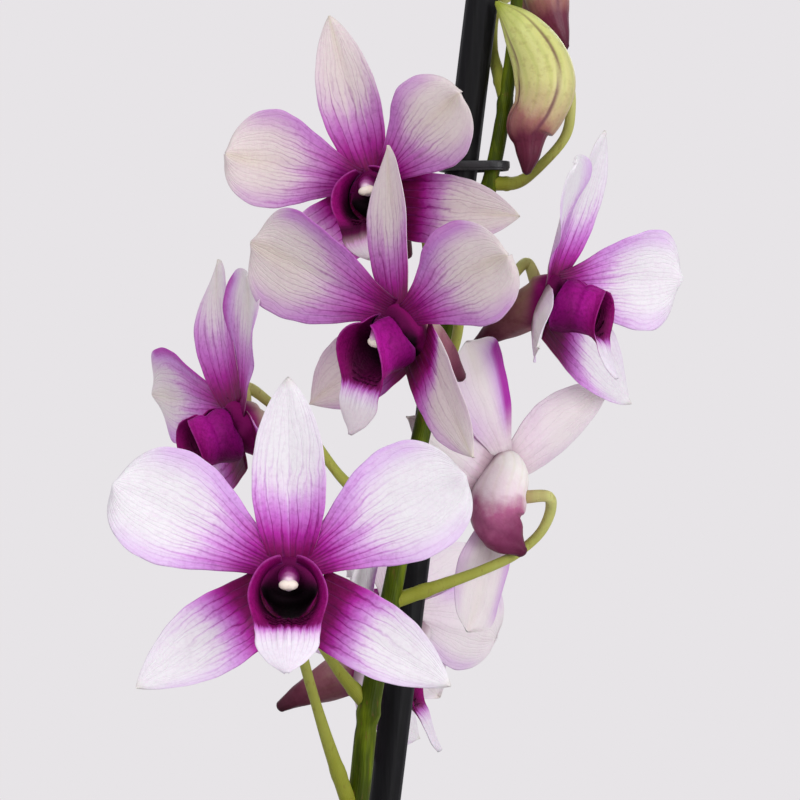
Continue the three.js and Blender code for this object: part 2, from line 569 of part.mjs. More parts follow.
/** One piece of bark, a skewed box, lying in the surface of the bed. */
function barkChunk(random) {
  const size = BARK.chunkSize * (0.7 + 0.6 * random());
  const box = new THREE.BoxGeometry(size * 1.5, size, size * 0.55);
  const place = box.getAttribute('position');
  const skew = 0.35 * (random() - 0.5);
  for (let i = 0; i < place.count; i += 1) {
    place.setX(i, place.getX(i) * (1 - skew * Math.sign(place.getZ(i))));
    place.setY(i, place.getY(i) * (1 + skew * Math.sign(place.getX(i))));
  }
  box.rotateX(0.7 * (random() - 0.5));
  box.rotateY(0.7 * (random() - 0.5));
  box.rotateZ(2 * Math.PI * random());
  const reach = (potInside(BARK.top) - size) * Math.sqrt(random());
  const compass = 2 * Math.PI * random();
  const height = BARK.top + BARK.crown * (1 - (reach / potInside(BARK.top)) ** 2);
  box.translate(reach * Math.cos(compass), reach * Math.sin(compass), height);
  return solidOf(box);
}

/** A root that creeps over the bark, half sunk in it. */
function rootSolid(root) {
  const [x, y] = caneLine(CANES[root.cane]).line[2].toArray();
  const steps = 6;
  const line = Array.from({ length: steps + 1 }, (_, i) => {
    const s = i / steps;
    const angle = (root.compass + root.turn * s) * degrees;
    const reach = root.length * s;
    const drop = 5 * s * s;
    return new THREE.Vector3(x + reach * Math.cos(angle), y + reach * Math.sin(angle),
      BARK.top + BARK.crown + ROOT.radius + 2 - drop);
  });
  return tube(line, line.map((_, i) => ROOT.radius * (1 - 0.1 * i)), ROOT.sides);
}

/** The bark that fills the pot, with its roots, and holes for what stands in it. */
function barkSolid() {
  const { clear } = BARK;
  const bed = turned([[0, POT.floor + clear], [potInside(POT.floor + clear) - clear, POT.floor + clear],
    [potInside(BARK.top) - clear, BARK.top - 1], [potInside(BARK.top) - 6, BARK.top + 0.5],
    [0, BARK.top + BARK.crown]]);
  const random = randomFrom(BARK.seed);
  const chunks = Array.from({ length: BARK.chunks }, () => barkChunk(random));
  const roots = ROOTS.map(rootSolid);
  const holes = CANES.map((cane) => {
    const { line, radii } = caneLine(cane, GAP);
    line[0].z -= GAP;
    return tube(line, radii, CANE.sides);
  });
  const shaft = stakeSolid(GAP);
  return largest(fuse([bed, ...chunks, ...roots]).subtract(fuse([...holes, shaft])));
}

/** The stake, grown by `extra` all round, with a blunt point at each end. */
function stakeSolid(extra = 0) {
  const foot = vector(STAKE.foot);
  const top = vector(STAKE.top);
  const along = top.clone().sub(foot).normalize();
  const radius = STAKE.radius + extra;
  const point = foot.clone().addScaledVector(along, -STAKE.point - extra);
  const line = [point, foot, top.clone().addScaledVector(along, -1), top];
  return tube(line, [STAKE.radius / 3 + extra, radius, radius, radius * 0.7], STAKE.sides);
}

/** The point of a line at a height. */
function pointAt(line, z) {
  const above = line.findIndex((point) => point.z >= z);
  const share = (z - line[above - 1].z) / (line[above].z - line[above - 1].z);
  return line[above - 1].clone().lerp(line[above], share);
}

/** The clip: a band that runs round the stake and the stem together. */
function clipSolid() {
  const stem = pointAt(smooth(STEM.path, 26), CLIP.height);
  const stake = pointAt([vector(STAKE.foot), vector(STAKE.top)], CLIP.height);
  const apart = stem.clone().sub(stake);
  const turn = Math.atan2(apart.y, apart.x);
  const reach = Math.hypot(apart.x, apart.y);
  const oval = (extra) => {
    const outline = new THREE.Shape();
    outline.absarc(0, 0, STAKE.radius + extra, Math.PI / 2, 3 * Math.PI / 2, false);
    outline.absarc(reach, 0, 1.45 + extra, -Math.PI / 2, Math.PI / 2, false);
    outline.closePath();
    return outline;
  };
  const rod = (shape, tall) => {
    const settings = { depth: tall, bevelEnabled: false, curveSegments: CLIP.corners };
    const geometry = new THREE.ExtrudeGeometry(shape, settings);
    geometry.translate(0, 0, -tall / 2);
    return solidOf(geometry);
  };
  const band = rod(oval(0.55 + CLIP.band), CLIP.tall).subtract(rod(oval(0.55), 2 * CLIP.tall));
  return band.rotate([0, 0, turn / degrees]).translate(stake.toArray());
}

// ----------------------------------------------------------------- the object

function material([color, roughness]) {
  return new THREE.MeshStandardMaterial({ color, roughness, metalness: 0 });
}

function piece(name, body, colour) {
  const mesh = new THREE.Mesh(geometryOf(body), material(COLOURS[colour]));
  mesh.name = name;
  return mesh;
}

const orchid = new THREE.Group();
orchid.add(piece('pot', potSolid(), 'pot'));
orchid.add(piece('bark', barkSolid(), 'bark'));
orchid.add(piece('stake', stakeSolid(), 'stake'));
orchid.add(piece('clip', clipSolid(), 'clip'));
orchid.add(piece('flower_spike', flowerSpike(), 'stem'));
CANES.forEach((cane, i) => orchid.add(piece(`cane_${i + 1}`, caneSolid(cane), 'cane')));
LEAVES.forEach((leaf, i) => orchid.add(piece(`leaf_${i + 1}`, leafSolid(leaf), 'leaf')));
BUDS.forEach((bud, i) => orchid.add(piece(`bud_${i + 1}`, budSolid(bud), 'bud')));
BLOOMS.forEach((bloom, i) => {
  const frame = bloomFrame(bloom);
  frame.add(piece(`bloom_${i + 1}_tepals`, tepalsSolid(bloom), 'petal'));
  frame.add(piece(`bloom_${i + 1}_lip`, lipSolid(bloom), 'lip'));
  frame.add(piece(`bloom_${i + 1}_column`, columnSolid(bloom), 'column'));
  orchid.add(frame);
});

export default orchid;
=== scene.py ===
"""The looks of a dendrobium orchid in a clay pot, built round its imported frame.

Sizes in the tables are millimetres; meshes are made in metres, in the frame's own axes.
A bloom's own axes: x to its right as it is looked at, y behind it, z up; it faces -y.
"""

import json
import math

import bpy
import numpy as np
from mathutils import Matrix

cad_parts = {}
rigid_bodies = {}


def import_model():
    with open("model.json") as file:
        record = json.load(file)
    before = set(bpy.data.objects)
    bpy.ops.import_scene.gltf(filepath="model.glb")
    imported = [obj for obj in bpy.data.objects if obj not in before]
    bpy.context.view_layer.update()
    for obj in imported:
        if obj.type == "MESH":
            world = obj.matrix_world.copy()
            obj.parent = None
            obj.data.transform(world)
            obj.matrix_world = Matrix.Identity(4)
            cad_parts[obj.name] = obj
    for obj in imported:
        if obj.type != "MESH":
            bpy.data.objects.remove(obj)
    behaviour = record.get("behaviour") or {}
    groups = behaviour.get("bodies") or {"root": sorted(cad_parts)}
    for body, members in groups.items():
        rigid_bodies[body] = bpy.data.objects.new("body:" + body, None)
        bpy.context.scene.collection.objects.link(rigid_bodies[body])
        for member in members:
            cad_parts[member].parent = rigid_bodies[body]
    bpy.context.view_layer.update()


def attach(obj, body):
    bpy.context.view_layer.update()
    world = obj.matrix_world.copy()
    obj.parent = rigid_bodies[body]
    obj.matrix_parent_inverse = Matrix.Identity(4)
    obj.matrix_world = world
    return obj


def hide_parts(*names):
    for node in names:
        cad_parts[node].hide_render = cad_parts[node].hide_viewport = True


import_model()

MM = 0.001
WHOLE_TURN = 2 * math.pi
X, Y, Z = np.eye(3)

# ------------------------------------------------------------------ the plant

LEAF_THICKNESS = 0.9
GAP = 0.35                  # left between neighbours, as between the solids
TIP_HALF_WIDTH = 0.12

POT = dict(height=100, foot=42, rim=60, collar=20, step=3, wall=4.5, floor=6)
BARK_TOP, BARK_CROWN, BARK_DEPTH = 87, 3, 16
STAKE = dict(radius=3, foot=(-30, 18, 30), top=(26.2, -1, 493))
# The rings of its foot and of its cap: how far past the end, radius.
STAKE_FOOT = [(-7, 0.9), (-0.8, 2.7), (0.6, 2.97)]
STAKE_CAP = [(-1.1, 2.95), (-0.4, 2.6), (-0.1, 2.0), (0, 1.2)]
STEM_PATH = [(-7.2, -6.6, 263.45), (-5, -8.4, 290), (0.3, -9, 321), (2.2, -9, 337), (7.3, -8, 363),
             (11.7, -7, 387), (18.1, -5, 412), (25.2, -1.2, 437), (27.4, 0.4, 449), (29, 1, 461),
             (30, 2, 478), (29, 3, 492), (26, 4, 503.7)]
STEM_RADII = [2.4, 2.2, 2.0, 2.0, 1.8, 1.7, 1.55, 1.4, 1.35, 1.2, 1.0, 0.85, 0.7]
# Radii of a stalk: along it, where it meets its bloom, and where it leaves the stem.
STALK = dict(radius=0.95, bloom_end=1.3 * 0.95, stem_end=1.5)
# Nodes of the stem with a bract and no stalk: where one is, and what its bract opens towards.
BARE_NODES = [((-5.5, -8, 284), (-12, -6, 288)), ((-6.6, -7.2, 271), (0, -14, 274))]

# How tall a bract is, by how high on the stem it grows: up to this height, this tall.
BRACT_SIZES = ((400, 6.5), (470, 4.6), (600, 3.2))
BRACT_WRAP = 2.3

# How fast a blade widens and closes, its width at the root, how it is cupped, how far its margin
# waves, and how deep the groove along its middle is.
SEPAL = dict(rise=0.75, fall=0.85, base=0.45, cup=0.5, wave=0.22, groove=0.35)
PETAL = dict(rise=1.3, fall=0.5, base=0.25, cup=0.35, wave=0.55, groove=0.5)
LATERAL = dict(rise=0.5, fall=0.85, base=0.85, cup=0.4, wave=0.22, groove=0.35)
TEPALS = {
    "dorsal": dict(root=(0, 0, 1), outline=SEPAL, widths=(6.7, 6.7)),
    "petal_left": dict(root=(-2, 0, 0), outline=PETAL, widths=(9.1, 11.1)),
    "petal_right": dict(root=(2, 0, 0), outline=PETAL, widths=(11.1, 9.1)),
    "lateral_left": dict(root=(-3.2, 1, -6), outline=LATERAL, widths=(7.2, 7.2)),
    "lateral_right": dict(root=(3.2, 1, -6), outline=LATERAL, widths=(7.2, 7.2)),
}
# Middle line and radii of the chin, as y, z, radius; the stalk meets it beside point CHIN_SEAT.
CHIN = [(-2.2, -1.1, 2.3), (-1.0, -1.45, 3.6), (1, -3.4, 4.6), (5, -6.5, 4.4), (10.5, -11, 2.6),
        (14, -14.5, 1.2)]
CHIN_SEAT = 2
# The same of the column, and then its cap.
COLUMN = [(-3.65, -1.05, 1.8), (-4.8, -1.3, 1.9), (-5.6, -1.7, 1.8), (-6.1, -2.0, 1.5),
          (-6.8, -2.4, 1.2), (-7.2, -2.6, 0.7)]
CAP = dict(centre=(0, -7.0, -2.5), wide=1.7, deep=0.9, tall=1.0)
# The lip: its middle line as y, z, then by share of its length its half width and the radius of
# its roll; then the furthest that it rolls, in radians.
LIP_MIDDLE = [(-1.9, -9.1), (-4, -9.2), (-7, -8.9), (-11, -9.6), (-14.2, -12.4), (-17.3, -16.6)]
LIP_HALF_WIDTH = [(0, 7), (0.07, 10), (0.14, 14), (0.24, 16), (0.36, 16), (0.44, 13.4),
                  (0.51, 9.6), (0.57, 6.9), (0.63, 5.7), (0.74, 5.5), (0.84, 4.8), (0.93, 2.8),
                  (1, 0.3)]
LIP_ROLL = [(0, 5.2), (0.3, 5.2), (0.42, 5.4), (0.5, 6.1), (0.58, 8.4), (0.66, 20), (1, 60)]
LIP_FURTHEST = 2.9
LIP_KEELS = ((-1.3, 0.45), (0, 0.6), (1.3, 0.45))       # how far aside, how tall
LIP_CRESTS = ((0.5, 1.0), (0.545, 1.4), (0.585, 1.2))   # how far along, how tall


def pose(clock, lift, bend, length, widths=None, roll=0):
    """How one tepal stands: clock angle, lift out of the bloom's plane, its change, and size."""
    return dict(clock=clock, lift=lift, bend=bend, length=length, widths=widths, roll=roll)


# Each bloom has its place, its turn (yaw, pitch, roll), its size, how cream its petals are (partly painted
# shade), how dusky its chin, its tepals in the order of TEPALS, and its stalk. Some have more:
#   droop             degrees that the chin hangs
#   flush, under      how far the violet reaches, and how much further on the lateral sepals
#   lean              how much further still towards one side of each lateral sepal
#   pale, bare        how pale the backs are at least, and the share that lateral sepals keep
#   margin, vivid     how violet the margins are, and the petal that has a magenta one
#   stain, deep       how far the lip's purple runs out, and how black the painted shade in the throat is
#   shut, short       how far the lip's lobes close, and how long it is for its size
#   aside             degrees that the lip and the column turn
#   chin              a chin of its own, as x, y, z, radius
#   seat, seat_at     the side and the point of the chin where the stalk meets it
BLOOMS = [
    dict(at=(-11, -42, 365), turn=(0, 0, 0), size=1, cream=0.0, dusk=0.5, under=1.3, tepals=[
        pose(90, 14, 4, 33), pose(152, 16, -6, 32, (9.3, 11.3)), pose(30, 16, -6, 33, (11.4, 9.5)),
        pose(212, 8, 0, 27.5, (6.2, 7.6)), pose(330, 8, 0, 28.5, (7.6, 6.2))],
        stalk=[(-0.8, -9, 319), (-6, -19, 336), (-10, -25, 352), (-11, -28, 364)]),
    dict(at=(8, -34, 409), turn=(-56, -26, 14), size=0.95, cream=0.9, dusk=0.8, droop=18,
         flush=1.04, under=0.8, lean=(1.0, -0.8), shut=0.3, margin=1.3, tepals=[
        pose(121, -30, 0, 32, (6.4, 6.4), 10), pose(147, 26, -8, 29.5, (11.4, 11.9), 20),
        pose(30, -10, -8, 29.5, (10.8, 9.2)), pose(215, 22, 0, 27), pose(334, 24, 0, 29, None, -18)],
        stalk=[(14.2, -6.3, 396), (17, -12, 401), (18.5, -20, 409), (16, -28, 415.5)]),
    dict(at=(3, -10, 434), turn=(-14, 0, -14), size=0.92, cream=0.9, dusk=0.8, flush=1.1,
         under=1.18, stain=0.18, tepals=[
        pose(89, 10, 0, 32.5, (6.6, 6.2)), pose(154, 39, -6, 29, (8.8, 10.6)),
        pose(25, 31, -8, 26.8, (9.5, 9.8)), pose(206, 39, 0, 28), pose(340, 17, 0, 28)],
        stalk=[(17.6, -5.1, 410), (14, -6.4, 416.5), (12.7, -4.4, 424), (11.2, -2.4, 431),
               (8, -2, 436.5)]),
    dict(at=(36.4, 6.5, 415.7), turn=(62, -9, 6), size=0.92, cream=0.0, dusk=1.0, flush=1.0,
         under=1.3, lean=(0, -0.6), shut=1.2, aside=8, tepals=[
        pose(87, 9, 0, 32), pose(125, 17, 0, 29, (9.1, 11.1), 12),
        pose(17, 39, -6, 29, (11.5, 10.5)), pose(202, 29, 0, 26, None, -15),
        pose(327, 25, 0, 29, (8.5, 7.5))],
        stalk=[(17.5, -5, 409), (24, 0, 412), (28.5, 4, 416.5)]),
    dict(at=(-22, -6, 392), turn=(-58, -14, 0), size=0.95, cream=0.55, dusk=0.8, flush=1.38,
         under=1.3, margin=1.6, bare=0.15, deep=0.3, shut=1.1, short=0.87, aside=-8,
         seat=(-0.4, 0.5, 0.77), tepals=[
        pose(112, -7, -20, 31, None, 10), pose(173, 1, 0, 29), pose(62, -1, 0, 29, None, -18),
        pose(207, 2, 0, 27), pose(349, 22, 0, 27)],
        stalk=[(8.6, -7.8, 371), (-2, -5, 379), (-9.5, -3, 388.4), (-15, -2.5, 392.7)]),
    dict(at=(28.3, 11, 380.8), turn=(-125, 30, -45), size=0.92, cream=0.4, dusk=0.0, pale=0.85,
         vivid="petal_right",
         chin=[(0, -2.2, -1.1, 2.3), (0.1, -1.0, -1.4, 3.5), (2.0, 1.8, -2.3, 4.8), (0.9, 3.7, -6.5, 6.0),
               (-1.2, 6.4, -9.9, 5.5), (-3.5, 10.3, -10.8, 3.5), (-5.0, 13.3, -10.7, 1.3)],
         seat=(-0.15, 0.69, 0.71), seat_at=3, tepals=[
        pose(96, 2, 0, 30.5, None, -25), pose(246, -24, 0, 33, (7, 8), 22),
        pose(7, 20, 0, 30, (8.5, 8)), pose(153, 16, 0, 26), pose(337, 30, 0, 25, (6.2, 4.8), 10)],
        stalk=[(6, -8.2, 357), (16, -5, 360.2), (24, 1, 362.8), (30.5, 9.3, 365.6),
               (34.6, 10, 369.4), (36.3, 9, 373.6)]),
    dict(at=(8, 54, 352), turn=(-165, 8, -25), size=0.98, cream=0.2, dusk=0.5, pale=0.9, tepals=[
        pose(135, 36, 4, 29), pose(176, 27, 6, 29), pose(72, 34, 4, 28), pose(205, 40, 0, 26),
        pose(335, 40, 0, 26)],
        stalk=[(4.4, -8.6, 350), (3.6, -2, 353), (4.8, 5, 355), (7.5, 14, 356.5), (10, 24, 357.5),
               (10.5, 34, 359)]),
    dict(at=(1.5, 19, 346), turn=(80, -8, 0), size=0.98, cream=0.1, dusk=0.9, droop=-6, tepals=[
        pose(84, 8, 0, 31), pose(139, 1, 0, 29), pose(25, -20, 0, 29), pose(211, 21, 0, 27),
        pose(331, 22, 0, 27)],
        stalk=[(2.4, -9, 338), (-3.5, -8, 345), (-7, 0, 350), (-7, 9, 353)]),
]

# A bud's body runs from its tip to its chin as x, y, z, radius; its stalk ends beside `seat`.
BUDS = [
    dict(body=[(25.8, -4.2, 467, 0.5), (30.3, -4.8, 462.2, 3.7), (33.8, -4.9, 456.4, 5.3),
               (34.8, -5, 451.6, 5.6), (33.7, -5, 447.2, 4.9), (31.8, -5, 443.8, 4.3),
               (31.7, -5, 441.0, 2.8), (31.6, -5, 438.6, 2.1), (31.3, -5, 436.2, 1.0)],
         stalk=[(25, -1.4, 434), (30, 0.6, 434.4), (35, 1.8, 438.4), (38.7, 2, 443), (39.6, 1.2, 447)]),
    dict(body=[(33, 9, 486, 0.4), (34.4, 9, 481, 2.4), (34.6, 9, 475.6, 4.4), (35, 9, 470.6, 4.9),
               (36.2, 8.6, 466, 3.9), (37.8, 8, 462.6, 2.2), (38.8, 8, 460.4, 1.0)],
         stalk=[(27.6, 0.6, 450), (25.4, 4.6, 459), (26, 7.2, 467)]),
    dict(body=[(13.5, 5, 496, 0.4), (15.4, 5, 492.6, 1.9), (16.4, 5, 488.6, 3.4), (16.4, 5, 485, 3.8),
               (15.4, 5.4, 481.4, 2.8), (14, 6, 478.4, 1.0)],
         stalk=[(30, 2, 477), (27.2, 5.6, 476.6), (24, 6.4, 480.4)]),
    dict(body=[(40, 2, 503, 0.4), (38.8, 2, 499.6, 1.7), (38, 2, 496, 2.8), (38.2, 2, 493, 3.0),
               (39.2, 2.2, 490.2, 1.9), (40, 2.4, 488.2, 0.9)],
         stalk=[(29.6, 2.6, 487), (32.2, 2.6, 486.8), (34.4, 2.4, 489.4)]),
    dict(body=[(19.4, 5, 509, 0.3), (20.2, 5, 506.6, 1.3), (20.8, 5, 504, 2.1), (20.6, 5, 501.6, 2.2),
               (19.8, 5, 499.6, 0.9)],
         stalk=[(28, 3.4, 496), (26, 3.8, 496.4), (24.4, 4.4, 498.8)]),
    dict(body=[(22.6, 4.6, 517, 0.3), (23.6, 4.5, 514.2, 1.1), (24.4, 4.4, 511, 1.8),
               (24.8, 4.3, 508.2, 1.9), (25.3, 4.2, 506, 1.4), (25.7, 4.1, 504.2, 0.8)],
         stalk=None),
]
BUD_SEAT = 3
BUD_SEAMS = (0.85, 2.45, 5.0)       # angles round the bud

CANE = dict(rings=12, foot=4, top=3.4, swell=0.5)
CANES = [
    dict(foot=(-9, -1, 60), middle=(-13, -4, 160), top=(-7.4, -6.4, 263), radius=7.6),
    dict(foot=(14, 6, 60), middle=(24, 12, 140), top=(40, 16, 222), radius=8),
    dict(foot=(-14, 24, 60), middle=(-26, 34, 130), top=(-46, 40, 196), radius=7.4),
    dict(foot=(13, -16, 60), middle=(20, -27, 115), top=(33, -36, 160), radius=6.6),
]
# A leaf's width at the root, its channel in radians, its outline, and how far down its sheath reaches.
LEAF = dict(base=2.6, channel=0.55, rise=0.75, fall=0.75, sheath=17)
# Each leaf: cane, how far up it, compass angle, rise, droop, length, half width.
LEAVES = [
    (0, 0.62, 205, 62, -58, 104, 12.5), (0, 0.76, 22, 60, -52, 98, 12), (0, 0.88, 200, 58, -64, 86, 11),
    (1, 0.55, -35, 58, -62, 104, 13), (1, 0.72, 150, 62, -60, 92, 12), (1, 0.84, -40, 60, -55, 96, 12.5),
    (1, 0.95, 140, 66, -56, 76, 10.5), (2, 0.6, 250, 56, -60, 98, 12.5), (2, 0.78, 70, 62, -62, 90, 12),
    (2, 0.93, 235, 62, -50, 84, 11.5), (3, 0.66, 300, 55, -62, 84, 11.5), (3, 0.9, 120, 64, -70, 72, 10.5),
]
# Each root: cane, compass angle, length, turn.
ROOTS = [(0, 200, 34, 35), (0, 250, 30, -40), (1, 10, 28, 40), (1, 75, 30, -30), (2, 130, 20, 30),
         (3, 290, 26, 45)]
ROOT_RADIUS = 1.7
# Each layer of bark chips: how far it lies above the bed, spacing, most to a square metre, seed.
BARK_LAYERS = [(-1.6, 6.2, 30000.0, 3), (0.8, 8.4, 20000.0, 8)]
# The levels of a chip, from below: share of its width, height.
CHIP_LEVELS = ((0.72, -0.5), (1.0, -0.36), (0.97, 0.3), (0.7, 0.5))
CLIP = dict(height=437.4, band=1.1, tall=1.4, clear=0.55, stem=1.45, wire=0.3)

# In metres: each lamp has its place, its size and its watts; all face the same point.
LAMPS = dict(key=((-0.6, -1.5, 1.25), 0.9, 12.6), fill=((1.3, -1.2, 0.45), 1.2, 16.5),
             back=((0.3, 1.5, 1.2), 1.2, 9))
LAMP_AIM = (0, 0, 0.36)
SKY_LIGHT = 0.6
FLOOR_RADIUS = 0.85
CAMERA = dict(at=(8, -620, 394), view=148, sensor=36)   # view: width of what it sees at y = 0

# ------------------------------------------------------------------ finishes


def colour(red, green, blue):
    """A colour as it is mixed on a screen, 0 to 255, as a shader's colour."""
    share = [c / 255 for c in (red, green, blue)]
    return (*[c / 12.92 if c <= 0.04045 else ((c + 0.055) / 1.055) ** 2.4 for c in share], 1.0)


class Wire:
    """A socket of a shader that can stand in a Python sum."""

    def __init__(self, finish, socket):
        self.finish, self.socket = finish, socket

    def _sum(self, operation, first, second):
        return self.finish.node("ShaderNodeMath", {"operation": operation}, {0: first, 1: second})

    def __add__(self, other):
        return self._sum("ADD", self, other)

    __radd__ = __add__

    def __mul__(self, other):
        return self._sum("MULTIPLY", self, other)

    __rmul__ = __mul__

    def __sub__(self, other):
        return self._sum("SUBTRACT", self, other)

    def __rsub__(self, other):
        return self._sum("SUBTRACT", other, self)

    def __truediv__(self, other):
        return self._sum("DIVIDE", self, other)

    def __rtruediv__(self, other):
        return self._sum("DIVIDE", other, self)

    def __abs__(self):
        return self._sum("ABSOLUTE", self, 0.0)

    def least(self, other):
        return self._sum("MINIMUM", self, other)

    def most(self, other):
        return self._sum("MAXIMUM", self, other)


class Finish:
    """A material built node by node, round one Principled shader."""

    def __init__(self, name, **fixed):
        self.material = bpy.data.materials.new(name)
        self.material.use_nodes = True
        self.tree = self.material.node_tree
        self.tree.nodes.clear()
        self.shader = self.tree.nodes.new("ShaderNodeBsdfPrincipled")
        end = self.tree.nodes.new("ShaderNodeOutputMaterial")
        self.tree.links.new(self.shader.outputs[0], end.inputs[0])
        for socket, value in fixed.items():
            socket = socket.replace("_", " ").title().replace("Ior", "IOR")
            self.shader.inputs[socket].default_value = value

    def node(self, kind, settings=None, values=None, output=0):
        """One node: its type, its settings, the values or links of its sockets, and its result."""
        made = self.tree.nodes.new(kind)
        for name, value in (settings or {}).items():
            if name == "stops":
                stops = made.color_ramp.elements
                while len(stops) < len(value):
                    stops.new(1.0)
                for stop, (place, shade) in zip(stops, value):
                    stop.position, stop.color = place, shade
            else:
                setattr(made, name, value)
        for name, value in (values or {}).items():
            if isinstance(value, Wire):
                self.tree.links.new(value.socket, made.inputs[name])
            else:
                made.inputs[name].default_value = value
        return Wire(self, made.outputs[output])

    def attribute(self, name):
        return self.node("ShaderNodeAttribute", {"attribute_name": name}, output="Fac")

    def attributes(self, *names):
        """The numbers that a Form keeps at its points, as wires."""
        return [self.attribute(name) for name in names]

    def place(self):
        return self.node("ShaderNodeTexCoord", output="Object")

    def point(self, x, y, z):
        return self.node("ShaderNodeCombineXYZ", {}, {0: x, 1: y, 2: z})

    def stretched(self, vector, x, y, z):
        return self.node("ShaderNodeVectorMath", {"operation": "MULTIPLY"}, {0: vector, 1: (x, y, z)})

    def noise(self, vector, scale, detail=3.0, rough=0.55):
        return self.node("ShaderNodeTexNoise", {}, {
            "Vector": vector, "Scale": scale, "Detail": detail, "Roughness": rough})

    def cells(self, vector, scale):
        return self.node("ShaderNodeTexVoronoi", {}, {"Vector": vector, "Scale": scale})

    def between(self, value, low, high):
        """0 below low, 1 above high, smooth between; falls instead where low is above high."""
        if low > high:
            return 1 - self.between(value, high, low)
        return self.node("ShaderNodeMapRange", {"interpolation_type": "SMOOTHSTEP"},
                         {0: value, 1: low, 2: high})

    def lines(self, phase, width):
        """Thin lines, 1 in their middle, wherever the phase is a whole number."""
        away = self.node("ShaderNodeMath", {"operation": "PINGPONG"}, {0: phase, 1: 0.5})
        return self.between(away / width, 1.0, 0.0)

    def ramp(self, value, *stops):
        """A colour by a value; each stop is a place, then red, green and blue from 0 to 255."""
        stops = [(place, colour(*tone)) for place, *tone in stops]
        return self.node("ShaderNodeValToRGB", {"stops": stops}, {0: value})

    def mix(self, share, first, second, blend="MIX"):
        """Two colours mixed; a plain one is red, green and blue from 0 to 255."""
        first, second = (tone if isinstance(tone, Wire) else colour(*tone) for tone in (first, second))
        return self.node("ShaderNodeMix", {"data_type": "RGBA", "blend_type": blend},
                         {0: share, 6: first, 7: second}, output=2)

    def patches(self, place, scale, detail, low, high):
        """Patches of noise, 0 outside and 1 inside."""
        return self.between(self.noise(place, scale, detail), low, high)

    def done(self, base, rough, height=None, depth=0.0):
        """Joins the colour, the roughness and the relief (depth in metres) to the shader."""
        for name, value in (("Base Color", base), ("Roughness", rough)):
            if isinstance(value, Wire):
                self.tree.links.new(value.socket, self.shader.inputs[name])
            else:
                self.shader.inputs[name].default_value = value
        if height is not None:
            relief = self.node("ShaderNodeBump", {}, {
                "Strength": 1.0, "Distance": depth, "Height": height})
            self.tree.links.new(relief.socket, self.shader.inputs["Normal"])
        return self.material


def petal_finish():
    """Thin petals and sepals: white or cream, the cream partly painted shade, a violet flush from the root,
    fine branching veins.
    """
    f = Finish("petal", subsurface_weight=0.2, subsurface_scale=0.0012,
               subsurface_radius=(1.0, 0.65, 0.9), specular_ior_level=0.22)
    along, across, back = f.attributes("along", "across", "back")
    reach, cream, seed = f.attributes("reach", "cream", "seed")
    rim, beak, span, veined = f.attributes("rim", "beak", "span", "veined")
    wander = f.noise(f.point(across * 2.6 + seed, along * 3.2, seed), 1.0, 3.0) - 0.5
    streak = f.noise(f.point(across * 8 + seed, along * 1.3, seed), 1.0, 3.0) - 0.5
    dots = f.noise(f.point(across * 26 + seed, along * 34, seed), 1.0, 2.0)
    fan = across * veined + wander * 1.5
    fine = veined / span
    veins = f.lines(fan, fine * 0.22)
    veins = veins.most(f.lines(fan * 2 + wander * 1.4, fine * 0.3) * f.between(along, 0.3, 0.55) * 0.7)
    side = abs(across)
    flush = (along + streak * (0.08 + along * 0.4) - veins * 0.05) / (reach * (0.82 + side * side * 0.3))
    # Cream is partly the petals' own cream tint and partly painted shade: it dims whole blooms that sit in
    # shade.
    outer = f.mix(cream, (228, 224, 228), (213, 200, 196))
    shade = f.ramp(flush, (0.0, 94, 0, 54), (0.18, 134, 6, 98), (0.36, 176, 38, 160),
                   (0.58, 200, 112, 203), (0.82, 216, 168, 223), (1.0, 227, 205, 230))
    # Painted shade: the violet flush darkened on cream blooms.
    shade = f.mix(cream * 0.9, shade, (226, 212, 214), "MULTIPLY")
    base = f.mix(f.between(flush, 0.7, 1.35), shade, outer)
    inked = f.mix(f.between(flush, 0.35, 0.9), (124, 12, 110),
                  f.mix(cream, (186, 140, 196), (150, 110, 140)))
    show = veins * (0.55 - 0.38 * f.between(flush, 0.7, 1.5)) + veins * cream * 0.1
    show = show * f.between(along, 0.95, 0.5) * (0.2 + dots * 1.4)
    base = f.mix(show, base, inked)
    pale = f.mix(cream, (236, 226, 231), (219, 208, 202))
    base = f.mix(back * f.between(along, -0.1, 0.16), base, pale)
    violet = f.mix(cream, (212, 166, 228), (180, 120, 186))
    vivid = f.mix(f.between(rim, 0.9, 1.7), violet, (166, 40, 158))
    base = f.mix((rim * (0.8 + streak)).least(1.0) * f.between(along, 0.12, 0.42), base, vivid)
    base = f.mix(f.between(along, 0.93, 1.0) * beak, base, (202, 198, 170))
    streaked = f.between(along, 0.5, 0.95) * f.between(side, 0.34, 0.0) * (0.5 + streak) * cream
    base = f.mix(streaked * 0.8, base, (204, 194, 160))
    place = f.place()
    mottle, speck = f.noise(place, 260, 4.0), f.noise(place, 1300, 2.0)
    base = f.mix(f.between(mottle, 0.45, 0.75) * 0.12, base, (218, 200, 218), "MULTIPLY")
    dusted = f.between(speck, 0.42, 0.72) * (0.1 + 0.32 * f.between(flush, 1.2, 0.5)) * (1 - back * 0.85)
    base = f.mix(dusted, base, (196, 150, 192), "MULTIPLY")
    grain = f.cells(place, 2600)
    relief = grain * 0.3 - veins * 0.7 + mottle * 0.6 + speck * 0.2
    return f.done(base, 0.44 + mottle * 0.16, relief, depth=0.00006)


